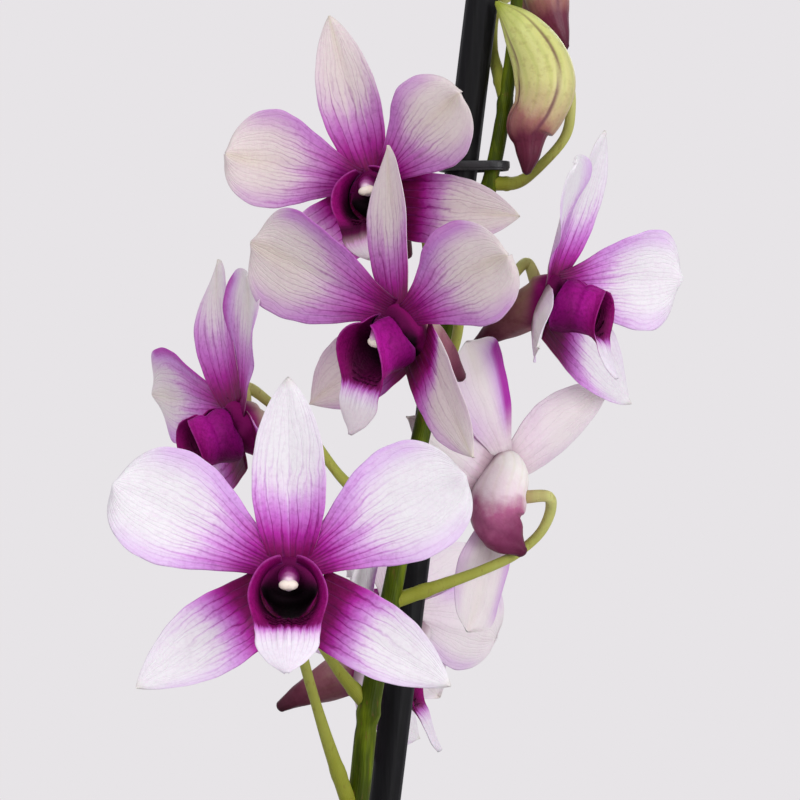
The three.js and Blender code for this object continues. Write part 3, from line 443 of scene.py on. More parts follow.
def chin_finish():
    """The chin behind a bloom: dark maroon in the throat with painted shade to near black, then pale or
    dusky, purple at its tip.
    """
    f = Finish("chin", subsurface_weight=0.12, subsurface_scale=0.0012,
               subsurface_radius=(1.0, 0.5, 0.7), specular_ior_level=0.12)
    along, around, dusk, throat = f.attributes("along", "across", "cream", "rim")
    below, place = f.attribute("seed"), f.place()
    blotch = f.noise(place, 190, 4.0) - 0.5
    deep = along + blotch * 0.3
    pale = f.ramp(deep, (0.3, 244, 240, 234), (0.46, 234, 214, 222), (0.58, 176, 98, 138),
                  (0.72, 128, 54, 92), (1.0, 76, 22, 44))
    dusky = f.ramp(deep, (0.35, 168, 136, 110), (0.55, 132, 82, 86), (0.75, 94, 42, 58),
                   (1.0, 48, 18, 28))
    base = f.mix(dusk, pale, dusky)
    stripe = f.lines(around * 7 + blotch * 0.5, 0.24) * f.between(along, 0.75, 0.2)
    base = f.mix(stripe * (0.14 + dusk * 0.2), base, f.mix(dusk, (205, 203, 150), (124, 110, 66)))
    spots = f.patches(place, 520, 3.0, 0.5, 0.72) * (0.08 + dusk * 0.22 + f.between(along, 0.5, 0.7) * 0.15)
    base = f.mix(spots, base, (190, 140, 150), "MULTIPLY")
    # The throat: the flower's dark maroon, with painted shade (seed) that turns it near black deeper in and
    # lower down.
    base = f.mix(throat, base, f.mix(below, (126, 8, 92), (12, 0, 7)))
    grain = f.cells(place, 2300)
    relief = grain * 0.4 - stripe * 0.4 + f.noise(place, 700)
    return f.done(base, 0.42 + blotch * 0.2 + throat * 0.4, relief, depth=0.00006)


def lip_finish():
    """The lip: magenta velvet, a dark maroon throat deepened by painted shade, painted shade under it and
    deep in its lobes, paler rims with painted highlight, a dark fringe and a white tongue.
    """
    f = Finish("lip", subsurface_weight=0.06, subsurface_scale=0.0008,
               subsurface_radius=(1.0, 0.3, 0.6), specular_ior_level=0.1)
    along, across, back = f.attributes("along", "across", "back")
    seed, cream, stain = f.attributes("seed", "cream", "reach")
    side = abs(across)
    jag = f.noise(f.point(across * 12 + seed, along * 4, seed), 1.0, 4.0, 0.7) - 0.5
    wander = f.noise(f.point(across * 3 + seed, along * 4, seed), 1.0, 2.0) - 0.5
    veins = f.lines(across * 6 + wander * 1.4, 0.14)
    fade = along + jag * 0.13 - stain
    # Inside: the throat's dark maroon runs to near black at the root, partly painted shade deep in the
    # throat.
    inside = f.ramp(fade, (0.0, 14, 0, 9), (0.3, 30, 0, 19), (0.47, 64, 0, 43),
                    (0.58, 92, 2, 64), (0.62, 124, 14, 98), (0.65, 190, 100, 190),
                    (0.7, 222, 190, 225), (0.77, 230, 222, 232))
    # The inner lobes: dark where they curl in and magenta at their margins, partly painted shade.
    lobe_tint_and_shade = f.between(side, 0.38, 0.75) * f.between(along, 0.16, 0.42) * f.between(along, 0.66, 0.54)
    inside = f.mix(lobe_tint_and_shade * 0.9, inside, f.ramp(side + jag * 0.3, (0.4, 92, 0, 58), (0.9, 150, 8, 112)))
    inside = f.mix(veins * f.between(fade, 0.58, 0.66) * f.between(along, 0.9, 0.7) * 0.3, inside,
                   (150, 60, 150))
    outside = f.ramp(fade, (0.0, 150, 40, 132), (0.1, 140, 12, 118), (0.36, 136, 8, 112),
                     (0.46, 168, 22, 142), (0.58, 142, 10, 106), (0.7, 112, 4, 76),
                     (0.77, 176, 84, 166), (0.84, 233, 220, 236))
    # Painted shade: the lip's outside darker along its lower middle, towards the root.
    outside = f.mix(f.between(side, 0.55, 0.1) * f.between(along, 0.6, 0.4) * 0.7, outside, (76, 4, 52))
    outside = f.mix(veins * 0.12, outside, (84, 4, 66))
    base = f.mix(back, inside, outside)
    # The lobes' margins: paler magenta, partly painted highlight where light catches the rims.
    edge = f.between(side, 0.93, 1.0) * f.between(along, 0.62, 0.5)
    base = f.mix(edge * 0.4, base, (176, 84, 168))
    # The tongue goes cream on cream blooms, partly painted shade.
    base = f.mix(cream * f.between(along, 0.7, 0.85) * 0.5, base, (215, 203, 198))
    place = f.place()
    velvet = f.noise(place, 1500, 2.0)
    tongue = f.between(along, 0.6, 0.7)
    base = f.mix(f.between(velvet, 0.4, 0.7) * 0.4 * (1 - tongue * 0.8), base, (180, 110, 170), "MULTIPLY")
    pile = (f.cells(place, 2400) * 0.5 + velvet * 0.5) * (1 - tongue * 0.75)
    return f.done(base, 0.5 + velvet * 0.2, pile - veins * 0.25, depth=0.00012)


def column_finish():
    """The column and its cap: magenta root, lavender hood, cream cap."""
    f = Finish("column", subsurface_weight=0.2, subsurface_scale=0.001,
               subsurface_radius=(1.0, 0.7, 0.7), specular_ior_level=0.3)
    along, cap = f.attributes("along", "back")
    place = f.place()
    speck = f.noise(place, 900, 3.0)
    body = f.ramp(along + (speck - 0.5) * 0.3, (0.0, 96, 4, 68), (0.45, 122, 24, 100),
                  (0.7, 176, 112, 162), (0.9, 228, 200, 216), (1.0, 236, 216, 222))
    base = f.mix(cap, body, (240, 226, 212))
    base = f.mix(f.between(speck, 0.5, 0.7) * 0.2, base, (216, 180, 186), "MULTIPLY")
    return f.done(base, 0.36 + speck * 0.12, f.cells(place, 2600) * 0.4 + speck, depth=0.00005)


def bud_finish():
    """Buds: yellow-green at the tip, cream in the middle, dusky purple at the chin, dark seams."""
    f = Finish("bud", subsurface_weight=0.15, subsurface_scale=0.0012,
               subsurface_radius=(1.0, 0.8, 0.4), specular_ior_level=0.25)
    along, around, seam = f.attributes("along", "across", "rim")
    place = f.place()
    cloud = f.noise(f.stretched(place, 1.0, 1.0, 0.35), 260, 4.0) - 0.5
    base = f.ramp(along + cloud * 0.22, (0.0, 146, 156, 52), (0.13, 196, 200, 120),
                  (0.34, 202, 198, 130), (0.48, 190, 168, 128), (0.57, 150, 98, 92),
                  (0.7, 102, 38, 60), (1.0, 72, 18, 38))
    ribs = f.lines(around * 7 + cloud * 0.9, 0.3)
    base = f.mix(ribs * 0.25 * f.between(along, 0.7, 0.3), base, (150, 166, 62))
    base = f.mix(f.patches(place, 700, 3.0, 0.5, 0.7) * 0.25, base, (170, 130, 120), "MULTIPLY")
    base = f.mix(f.between(seam, 0.35, 0.9) * 0.8 * f.between(along, -0.1, 0.3), base, (98, 44, 62))
    return f.done(base, 0.38 + cloud * 0.15, f.cells(place, 2200) * 0.5 - ribs * 0.5 + cloud, depth=0.00006)


def stem_finish():
    """The flower stem, its stalks and its dry bracts."""
    f = Finish("stem", subsurface_weight=0.05, subsurface_scale=0.001, specular_ior_level=0.1)
    along, around, part = f.attributes("along", "across", "back")
    place = f.place()
    tone = f.noise(f.stretched(place, 1.0, 1.0, 0.12), 420, 4.0)
    fleck = f.noise(f.stretched(place, 1.0, 1.0, 0.3), 1500, 2.0)
    green = f.ramp(tone, (0.25, 32, 42, 0), (0.5, 62, 76, 0), (0.78, 120, 136, 20))
    stalk = f.ramp(along + (tone - 0.5) * 0.3, (0.0, 132, 136, 40), (0.5, 174, 176, 92),
                   (0.86, 198, 198, 126), (1.0, 180, 164, 112))
    base = f.mix(f.between(part, 0.3, 0.6), green, stalk)
    bract = f.ramp(tone, (0.3, 150, 138, 84), (0.6, 196, 182, 134))
    base = f.mix(f.between(part, 1.4, 1.6), base, bract)
    base = f.mix(f.between(fleck, 0.6, 0.74) * 0.35, base, (110, 74, 44))
    ribs = f.lines(around * 14, 0.3)
    return f.done(base, 0.36 + tone * 0.16, tone * 0.8 + ribs * 0.35 + fleck * 0.3, depth=0.00008)


def cane_finish():
    """Swollen canes: green-gold, ribbed, with pale papery sheaths in bands."""
    f = Finish("cane", coat_weight=0.12, coat_roughness=0.4)
    around, sheath, ring = f.attributes("across", "back", "rim")
    place = f.place()
    tone = f.noise(f.stretched(place, 1.0, 1.0, 0.15), 200, 5.0)
    skin = f.ramp(tone, (0.25, 78, 96, 34), (0.5, 122, 134, 56), (0.78, 164, 158, 84))
    fibres = f.noise(f.stretched(place, 1.0, 1.0, 0.04), 1500, 4.0)
    paper = f.ramp(fibres, (0.3, 138, 126, 98), (0.5, 188, 178, 148), (0.72, 216, 208, 184))
    base = f.mix(sheath, skin, paper)
    base = f.mix(ring * 0.7, base, (84, 62, 36))
    base = f.mix(f.patches(place, 900, 3.0, 0.6, 0.75) * 0.4, base, (92, 70, 40))
    ribs = f.lines(around * 16 + tone * 0.5, 0.35)
    return f.done(base, 0.42 + fibres * 0.25, fibres * (0.4 + sheath) + ribs * 0.7, depth=0.00016)


def leaf_finish():
    """Leathery leaves: parallel veins, a sunk midrib, paler beneath."""
    f = Finish("leaf", subsurface_weight=0.06, subsurface_scale=0.0012, coat_weight=0.18,
               subsurface_radius=(0.5, 1.0, 0.2), coat_roughness=0.3)
    along, across, under = f.attributes("along", "across", "back")
    seed = f.attribute("seed")
    place = f.place()
    cloud = f.noise(place, 70, 5.0)
    veins = f.lines(across * 9, 0.16)
    fine = f.noise(f.point(across * 60 + seed, along * 5, seed), 1.0, 3.0)
    top = f.ramp(cloud, (0.28, 36, 70, 20), (0.5, 58, 98, 32), (0.75, 96, 132, 48))
    base = f.mix(under, top, (112, 142, 74))
    base = f.mix(veins * 0.3, base, (124, 152, 78))
    base = f.mix(f.between(abs(across), 0.05, 0.0), base, (134, 160, 84))
    base = f.mix(f.between(fine, 0.5, 0.8) * 0.35, base, (38, 66, 22))
    dry = f.between(along + cloud * 0.12, 1.0, 1.06)
    base = f.mix(dry, base, (164, 134, 72))
    base = f.mix(f.patches(place, 650, 2.0, 0.68, 0.76) * 0.6, base, (150, 150, 84))
    sheath = f.attribute("rim")
    base = f.mix(sheath * 0.8, base, f.ramp(fine, (0.3, 120, 132, 66), (0.7, 176, 176, 118)))
    return f.done(base, 0.34 + cloud * 0.16, fine * 0.5 - veins * 0.8 + cloud * 0.3, depth=0.00012)


def clay_finish():
    """Terracotta with throwing marks, fine pits and pale salt from watering."""
    f = Finish("terracotta", specular_ior_level=0.25)
    place = f.place()
    wet, grit = f.attribute("along"), f.noise(place, 1900, 3.0)
    cloud, salt = f.noise(place, 24, 5.0, 0.6), f.noise(place, 75, 6.0, 0.68)
    rings = f.noise(f.stretched(place, 0.02, 0.02, 1.0), 620, 3.0)
    base = f.ramp(cloud, (0.25, 148, 76, 46), (0.5, 184, 104, 66), (0.78, 204, 132, 92))
    base = f.mix(f.between(grit, 0.58, 0.72) * 0.45, base, (122, 62, 38))
    base = f.mix(f.between(salt + wet * 0.18, 0.6, 0.84) * 0.55, base, (218, 200, 180))
    base = f.mix(f.between(f.noise(place, 46, 4.0) + wet * 0.2, 0.68, 0.86) * 0.45, base, (96, 98, 66))
    return f.done(base, 0.78 + grit * 0.2, rings * 0.6 + grit * 0.35 + salt * 0.3, depth=0.00035)


def bark_finish():
    """Chips of orchid bark: corky outside, redder where they are split."""
    f = Finish("bark_chips", specular_ior_level=0.25)
    place = f.place()
    grain = f.noise(f.stretched(place, 1.0, 0.35, 1.0), 420, 6.0, 0.65)
    lump = f.noise(place, 70, 4.0)
    base = f.ramp(lump, (0.3, 62, 38, 24), (0.45, 104, 66, 42), (0.58, 140, 94, 62),
                  (0.75, 174, 132, 94))
    base = f.mix(f.between(grain, 0.5, 0.72) * 0.55, base, (52, 30, 20))
    base = f.mix(f.patches(place, 130, 3.0, 0.6, 0.74) * 0.4, base, (150, 74, 44))
    return f.done(base, 0.8 + grain * 0.18, grain + lump * 0.4, depth=0.0007)


def root_finish():
    """Aerial roots: silver skin, green towards the growing tip."""
    f = Finish("root", sheen_weight=0.2)
    along, place = f.attribute("along"), f.place()
    skin = f.noise(place, 620, 4.0)
    base = f.ramp(skin, (0.3, 150, 150, 128), (0.55, 190, 190, 168), (0.8, 214, 212, 194))
    base = f.mix(f.between(along, 0.82, 0.95), base, (124, 150, 58))
    base = f.mix(f.patches(place, 210, 3.0, 0.58, 0.72) * 0.5, base, (118, 96, 66))
    return f.done(base, 0.66 + skin * 0.2, skin, depth=0.0002)


def stake_finish():
    """The plastic skin of the stake: near black, drawn lengthways, rubbed here and there."""
    f = Finish("stake_skin", specular_ior_level=0.16)
    place = f.place()
    drawn = f.noise(f.stretched(place, 1.0, 1.0, 0.02), 1400, 4.0)
    rub = f.noise(f.stretched(place, 1.0, 1.0, 0.35), 240, 5.0)
    base = f.ramp(drawn, (0.3, 7, 7, 8), (0.7, 15, 14, 18))
    base = f.mix(f.between(rub, 0.6, 0.76) * 0.35, base, (42, 40, 48))
    return f.done(base, 0.42 + rub * 0.22, drawn + rub * 0.4, depth=0.00012)


def clip_finish():
    """The moulded clip: dark plastic with a fine spark finish."""
    f = Finish("clip_plastic", coat_weight=0.1)
    place = f.place()
    spark, wipe = f.noise(place, 2600, 2.0), f.noise(place, 330, 4.0)
    base = f.ramp(wipe, (0.35, 30, 31, 33), (0.7, 52, 54, 55))
    return f.done(base, 0.4 + wipe * 0.2, spark, depth=0.00008)


def floor_finish():
    """Plain pale paper."""
    f = Finish("floor_paper")
    tone = f.noise(f.place(), 3.0, 2.0)
    return f.done(f.ramp(tone, (0.3, 196, 193, 196), (0.7, 204, 201, 204)), 0.8)


# ------------------------------------------------------------------- forms


def smooth(points, count):
    """A smooth line through points, as count + 1 samples of an even-handed spline."""
    p = np.asarray(points, float)
    p = np.vstack([2 * p[0] - p[1], p, 2 * p[-1] - p[-2]])
    place = np.linspace(0, len(p) - 3, count + 1)
    k = np.minimum(place.astype(int), len(p) - 4)
    w = (place - k)[:, None]
    gap = np.sqrt(np.linalg.norm(np.diff(p, axis=0), axis=1))
    gap = np.where(gap < 1e-4, 1.0, gap)[:, None]
    p0, p1, p2, p3 = p[k], p[k + 1], p[k + 2], p[k + 3]
    g0, g1, g2 = gap[k], gap[k + 1], gap[k + 2]
    t1 = g1 * ((p1 - p0) / g0 - (p2 - p0) / (g0 + g1) + (p2 - p1) / g1)
    t2 = g1 * ((p2 - p1) / g1 - (p3 - p1) / (g1 + g2) + (p3 - p2) / g2)
    c2, c3 = 3 * (p2 - p1) - 2 * t1 - t2, 2 * (p1 - p2) + t1 + t2
    return p1 + t1 * w + c2 * w ** 2 + c3 * w ** 3


def full_turn(count):
    """Angles that lie evenly round a circle."""
    return np.linspace(0, WHOLE_TURN, count, endpoint=False)


def spun(reach, turn, height):
    """Points round the upright axis, by radius, angle and height."""
    return np.stack(np.broadcast_arrays(reach * np.cos(turn), reach * np.sin(turn), height), -1)


def quads(below, above):
    """Faces between rows of point numbers and the rows above them, all the way round."""
    faces = np.stack([below, np.roll(below, -1, 1), np.roll(above, -1, 1), above], -1)
    return faces.reshape(-1, 4).tolist()


def soft_step(value, low, high):
    """0 below low, 1 above high, smooth between."""
    w = np.clip((value - low) / (high - low), 0, 1)
    return w * w * (3 - 2 * w)


def bump_at(value, middle, width):
    """1 at the middle, falling away on both sides."""
    return np.exp(-((value - middle) / width) ** 2)


def stops_at(stops, s, soften=0.0):
    """The values at shares s of a list of (share, value) stops, softened at its corners."""
    share, value = zip(*stops)
    spread = np.linspace(-1, 1, 9) * soften
    return np.mean([np.interp(np.clip(s + d, 0, 1), share, value) for d in spread], axis=0)


def unit(v):
    """Vectors made one long."""
    return v / np.maximum(np.linalg.norm(v, axis=-1, keepdims=True), 1e-12)


def sides_along(line, side=None):
    """Two square directions across a line at each of its points, without twist."""
    ahead = unit(np.vstack([line[1] - line[0], line[2:] - line[:-2], line[-1] - line[-2]]))
    if side is None:
        side = Z if abs(ahead[0][2]) < 0.9 else X
    found = []
    for direction in ahead:
        side = unit(side - direction * side.dot(direction))
        found.append(side)
    first = np.array(found)
    return first, np.cross(ahead, first)


class Form:
    """A mesh that is put together from closed shells, with numbers kept at its points."""

    KEPT = ("along", "across", "back", "reach", "cream", "seed", "rim", "beak", "span", "veined")

    def __init__(self):
        self.points, self.faces, self.kept, self.count = [], [], {n: [] for n in self.KEPT}, 0
        self.used = set()

    def add(self, points, faces, **kept):
        """Adds a closed shell, turned so that its faces point outwards."""
        points = np.asarray(points, float).reshape(-1, 3)
        corners = points[np.array([f[:3] for f in faces if len(f) < 5])]
        flat = points.mean(0)
        a, b, c = corners[:, 0] - flat, corners[:, 1] - flat, corners[:, 2] - flat
        half = np.array([f for f in faces if len(f) == 4])
        volume = np.einsum("ij,ij->i", a, np.cross(b, c)).sum()
        if len(half):
            a, b, c = (points[half[:, i]] - flat for i in (0, 2, 3))
            volume += np.einsum("ij,ij->i", a, np.cross(b, c)).sum()
        if volume < 0:
            faces = [f[::-1] for f in faces]
        self.faces += [[int(i) + self.count for i in f] for f in faces]
        self.points.append(points)
        for name in self.KEPT:
            value = kept.get(name, 0.0)
            self.used |= {name} if name in kept else set()
            self.kept[name].append(np.broadcast_to(np.asarray(value, float).reshape(-1), len(points)))
        self.count += len(points)

    def loft(self, rings, closed=False, flat_ends=False, **kept):
        """A skin over rings of points; the ends are shut, or joined when the loft is closed."""
        rows, lanes = rings.shape[:2]
        index = np.arange(rows * lanes).reshape(rows, lanes)
        below = index if closed else index[:-1]
        above = np.roll(index, -1, 0) if closed else index[1:]
        faces = quads(below, above)
        if not closed:
            for end in (index[0][::-1], index[-1]):
                if flat_ends:      # a blade's end: quads across from its front to its back
                    half = lanes // 2
                    faces += [[end[j], end[j + 1], end[lanes - 2 - j], end[lanes - 1 - j]]
                              for j in range(half - 1)]
                else:
                    faces.append(list(end))
        self.add(rings, faces, **{n: np.broadcast_to(v, (rows, lanes)) for n, v in kept.items()})

    def tube(self, line, radii, sides, start=None, shape=None, **kept):
        """A round body along a line. `shape` scales the radius by ring and side."""
        first, second = sides_along(line, start)
        turn = full_turn(sides)
        reach = np.asarray(radii)[:, None] * (1 if shape is None else shape)
        ring = (line[:, None] + first[:, None] * (reach * np.cos(turn))[..., None]
                + second[:, None] * (reach * np.sin(turn))[..., None])
        kept.setdefault("along", np.linspace(0, 1, len(line))[:, None])
        kept.setdefault("across", np.abs(turn / math.pi - 1)[None])
        self.loft(ring, **kept)

    def keep(self, **kept):
        """Writes over numbers kept at the points of the last shell."""
        for name, value in kept.items():
            self.kept[name][-1], self.used = value, self.used | {name}

    def blade(self, grid, thickness, back=1.0, **kept):
        """A thin closed blade on both sides of a grid of points."""
        rows, lanes = grid.shape[:2]
        along, across = np.gradient(grid, axis=0), np.gradient(grid, axis=1)
        normal = unit(np.cross(along, across))
        half = 0.5 * np.broadcast_to(thickness, (rows, lanes))[..., None]
        ring = np.concatenate([grid + normal * half, (grid - normal * half)[:, ::-1]], 1)
        both = {}
        for name, value in kept.items():
            value = np.broadcast_to(value, (rows, lanes))
            both[name] = np.concatenate([value, value[:, ::-1]], 1)
        both["back"] = np.concatenate([np.zeros((rows, lanes)), np.full((rows, lanes), back)], 1)
        self.loft(ring, flat_ends=True, **both)

    def placed(self, turn, size, at):
        """Turns, scales and moves all that is in the form so far."""
        self.points = [size * p @ turn.T + np.asarray(at, float) for p in self.points]
        return self

    def piece(self, name, finish, nodes=(), slot=None):
        """The finished piece, riding on the root body and standing for its CAD nodes."""
        mesh = bpy.data.meshes.new(name)
        mesh.from_pydata((np.vstack(self.points) * MM).tolist(), [], self.faces)
        for kept in sorted(self.used):
            layer = mesh.attributes.new(kept, "FLOAT", "POINT")
            layer.data.foreach_set("value", np.concatenate(self.kept[kept]).astype(np.float32))
        mesh.polygons.foreach_set("use_smooth", [True] * len(mesh.polygons))
        mesh.materials.append(finish)
        mesh.update()
        made = bpy.data.objects.new(name, mesh)
        bpy.context.scene.collection.objects.link(made)
        return settle(made, nodes)


def settle(made, nodes=()):
    """Joins a finished piece to the frame."""
    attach(made, "root")
    if nodes:
        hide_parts(*nodes)
    return made


# ------------------------------------------------------------------- blooms

# How each tepal is coloured: how far the flush reaches, how far the base colour is held,
# how violet its two margins are, how green its point is and how pale its back.
TINT = {
    "dorsal": dict(reach=0.5, hold=0.0, rim=(0.15, 0.15), beak=0.3, back=0.8),
    "petal_left": dict(reach=0.58, hold=0.0, rim=(0.7, 0.95), beak=0.0, back=0.35),
    "petal_right": dict(reach=0.58, hold=0.0, rim=(0.95, 0.7), beak=0.0, back=0.35),
    "lateral_left": dict(reach=0.36, hold=0.17, rim=(0.5, 0.2), beak=0.35, back=0.8),
    "lateral_right": dict(reach=0.36, hold=0.17, rim=(0.2, 0.5), beak=0.35, back=0.8),
}
VIVID_RIM = (2.0, 0.6)
VEIN_SPACING = 1.9


def outline_at(outline, s):
    """Half width of a blade at shares s of its length, as a share of its greatest."""
    rise, fall = outline["rise"], outline["fall"]
    peak = rise / (rise + fall)
    bulge = s ** rise * (1 - s) ** fall / (peak ** rise * (1 - peak) ** fall)
    root = outline["base"] * (1 - s) ** 2
    return root + bulge * (1 - root)


def turned_pair(first, second, angle):
    """Two square directions, both turned by angles from the first towards the second."""
    cos, sin = np.cos(np.radians(angle))[..., None], np.sin(np.radians(angle))[..., None]
    return first * cos + second * sin, second * cos - first * sin


def tepal_shape(kind, stand, chance, steps=46, lanes=26):
    """The middle surface of one petal or sepal, with its grooves, its waved margin and its tip.

    Returns its points, its half widths, and the shares along it (0 to 1) and across it (-1 to 1).
    """
    made = TEPALS[kind]
    outline = made["outline"]
    left, right = stand["widths"] or made["widths"]
    curl = outline["cup"] / max(left, right)
    clock = math.radians(stand["clock"])
    around = np.array([math.cos(clock), 0, math.sin(clock)])
    aside = np.array([-math.sin(clock), 0, math.cos(clock)])
    s = 1 - (1 - np.linspace(0, 1, steps + 1)) ** 1.7
    heading, face = turned_pair(around, -Y, stand["lift"] + stand["bend"] * s)
    across, up = turned_pair(np.broadcast_to(aside, face.shape), face, np.full(len(s), stand["roll"]))
    stride = (heading[1:] + heading[:-1]) / 2 * np.diff(s)[:, None] * stand["length"]
    middle = np.asarray(made["root"], float) + np.vstack([np.zeros(3), np.cumsum(stride, 0)])
    t = np.linspace(-1, 1, lanes + 1)
    t = np.sign(t) * (1 - (1 - np.abs(t)) ** 1.25)
    s2, edge = s[:, None], np.abs(t)[None]
    half = np.where(t > 0, left, right)[None] * outline_at(outline, s)[:, None]
    half = np.maximum(half, TIP_HALF_WIDTH)
    notch = 0.018 * np.sin(9 * s2 + chance.uniform(0, 6))
    notch = notch + 0.007 * np.sin(37 * s2 + 2 * np.sign(t) + chance.uniform(0, 6))
    reach = t * half * (1 + notch * np.abs(t) ** 4) * curl
    grid = (middle[:, None] + across[:, None] * (np.sin(reach) / curl)[..., None]
            + up[:, None] * ((1 - np.cos(reach)) / curl)[..., None])
    phase = WHOLE_TURN * (chance.uniform(1.2, 2.0) * s2 + chance.uniform(0, 1))
    waves = outline["wave"] * np.sin(phase + (t > 0) * 2.1)
    lift = waves * edge ** 2.2 * soft_step(s2, 0.1, 0.5)
    groove = outline["groove"] * bump_at(t * half, 0, 0.9)
    lift = lift - groove * soft_step(s2, 0.02, 0.15) * (1 - 0.6 * s2)
    ribs = np.cos(WHOLE_TURN * 5.5 * t)[None] * soft_step(s2, 0.05, 0.25) * (1 - s2 ** 3)
    lift = lift + 0.05 * ribs * np.minimum(half / 6, 1)
    is_petal = kind.startswith("petal")
    if is_petal:
        lift = lift + 0.7 * bump_at(s2, 1.0, 0.09) * bump_at(t * half, 0, 2.2)
    lift = lift - chance.uniform(0.2, 0.9) * edge ** 2 * soft_step(s2, 0.6, 1.0)
    grid = grid + up[:, None] * lift[..., None]
    if is_petal:                    # the small point at the end of a petal
        point = 0.4 * bump_at(s2, 1.0, 0.03) * bump_at(t * half, 0, 1.1)
        grid = grid + heading[:, None] * point[..., None]
    return grid, half, s2, t[None]


def tepal(form, kind, stand, bloom, chance):
    """Adds one petal or sepal, with the numbers that its finish reads."""
    grid, half, s, t = tepal_shape(kind, stand, chance)
    edge = np.abs(t)
    thick = (0.2 + 0.34 * (1 - edge ** 2.5)) * (1 - 0.45 * s)
    tint = TINT[kind]
    bare, flush = 1.0, bloom.get("flush", 1.0)
    if kind.startswith("lateral"):
        bare, flush = bloom.get("bare", 1.0), flush * bloom.get("under", 1.0)
    lean = dict(zip(("lateral_left", "lateral_right"), bloom.get("lean", ()))).get(kind, 0)
    flush = tint["reach"] * flush * chance.uniform(0.94, 1.06) * np.maximum(1 + lean * t, 0.25)
    rims, inset = (VIVID_RIM, 0.0) if kind == bloom.get("vivid") else (tint["rim"], 0.45)
    margin = np.where(t > 0, *rims) * bloom.get("margin", 1.0)
    margin = margin * soft_step(edge, inset, 1.0) * (1 - soft_step(s, 0.8, 1.0))
    held = np.maximum(s - tint["hold"], 0) / (1 - tint["hold"])
    widest = max(stand["widths"] or TEPALS[kind]["widths"])
    form.blade(grid, thick, along=np.where(s < 0.5, held + (s - held) * 2 * s, s), across=t,
               reach=flush, cream=bloom["cream"], seed=chance.uniform(0, 40), beak=tint["beak"],
               back=max(tint["back"] * bare, bloom.get("pale", 0.0)), rim=margin,
               span=np.maximum(half, 1.0), veined=widest / VEIN_SPACING)


def spin(degrees, a, b):
    """A turn from axis a towards axis b."""
    turn, angle = np.eye(3), math.radians(degrees)
    turn[a, a] = turn[b, b] = math.cos(angle)
    turn[b, a], turn[a, b] = math.sin(angle), -math.sin(angle)
    return turn


def bloom_turn(bloom):
    """The bloom's turn from its own axes to the plant's."""
    yaw, pitch, roll = bloom["turn"]
    return spin(yaw, 0, 1) @ spin(-pitch, 1, 2) @ spin(roll, 2, 0)


def chin_points(bloom):
    """The middle line and radii of a bloom's chin, in the bloom's own axes."""
    if "chin" in bloom:
        return np.array(bloom["chin"], float)
    droop = math.radians(bloom.get("droop", 0))
    y0, z0, _ = CHIN[CHIN_SEAT]
    points = []
    for k, (y, z, radius) in enumerate(CHIN):
        if k > CHIN_SEAT:
            dy, dz = y - y0, z - z0
            y = y0 + dy * math.cos(droop) + dz * math.sin(droop)
            z = z0 + dz * math.cos(droop) - dy * math.sin(droop)
        points.append((0, y, z, radius))
    return np.array(points, float)


def chin(form, bloom, chance):
    """The chin: a blunt horn with shallow furrows, bumps and a rounded end."""
    body = smooth(chin_points(bloom), 46)
    line, radii = body[:, :3], body[:, 3]
    ahead = unit(line[-1] - line[-2])
    end = np.array([0.3, 0.6, 0.85, 1.0])
    line = np.vstack([line, line[-1] + ahead * radii[-1] * 0.8 * end[:, None]])
    radii = np.concatenate([radii, radii[-1] * np.sqrt(1 - (end * 0.985) ** 2)])
    sides = 30
    turn = full_turn(sides)
    s = np.linspace(0, 1, len(line))[:, None]
    furrows = -0.07 * np.cos(turn) ** 8 * soft_step(s, 0.1, 0.4) * (1 - soft_step(s, 0.85, 1))
    own = "chin" in bloom
    rough = 0.11 if own else 0.05
    bumps = rough * np.sin(5 * turn + 9 * s + chance.uniform(0, 6)) * np.sin(23 * s + 2 * turn)
    bumps = bumps + rough * 1.5 * np.sin(3 * turn + chance.uniform(0, 6)) * bump_at(s, 0.72, 0.09)
    fill = 0.9 * bump_at(line[:, 1], 0.0, 1.1) * (radii < 5)      # for the back of the throat
    relief = 1 + furrows + bumps * soft_step(s, 0.4, 0.75)
    form.tube(line, radii + fill, sides, shape=relief, cream=bloom["dusk"])
    depth, height = form.points[-1][:, 1], form.points[-1][:, 2]
    # Painted shade in the throat: near black the deeper in and the lower it lies, lighter towards its top.
    black = 1 - soft_step(depth - 0.6 * np.maximum(-5.5 - height, 0), -1.3, -0.3)
    black = black * bloom.get("deep", 1.0) * (1 - 0.55 * soft_step(height, -3.8, -0.8))
    throat = (-1.5, 0.5) if own else (0.5, 4.0)         # how far back its colour ends
    form.keep(rim=1 - soft_step(depth, *throat), seed=black)


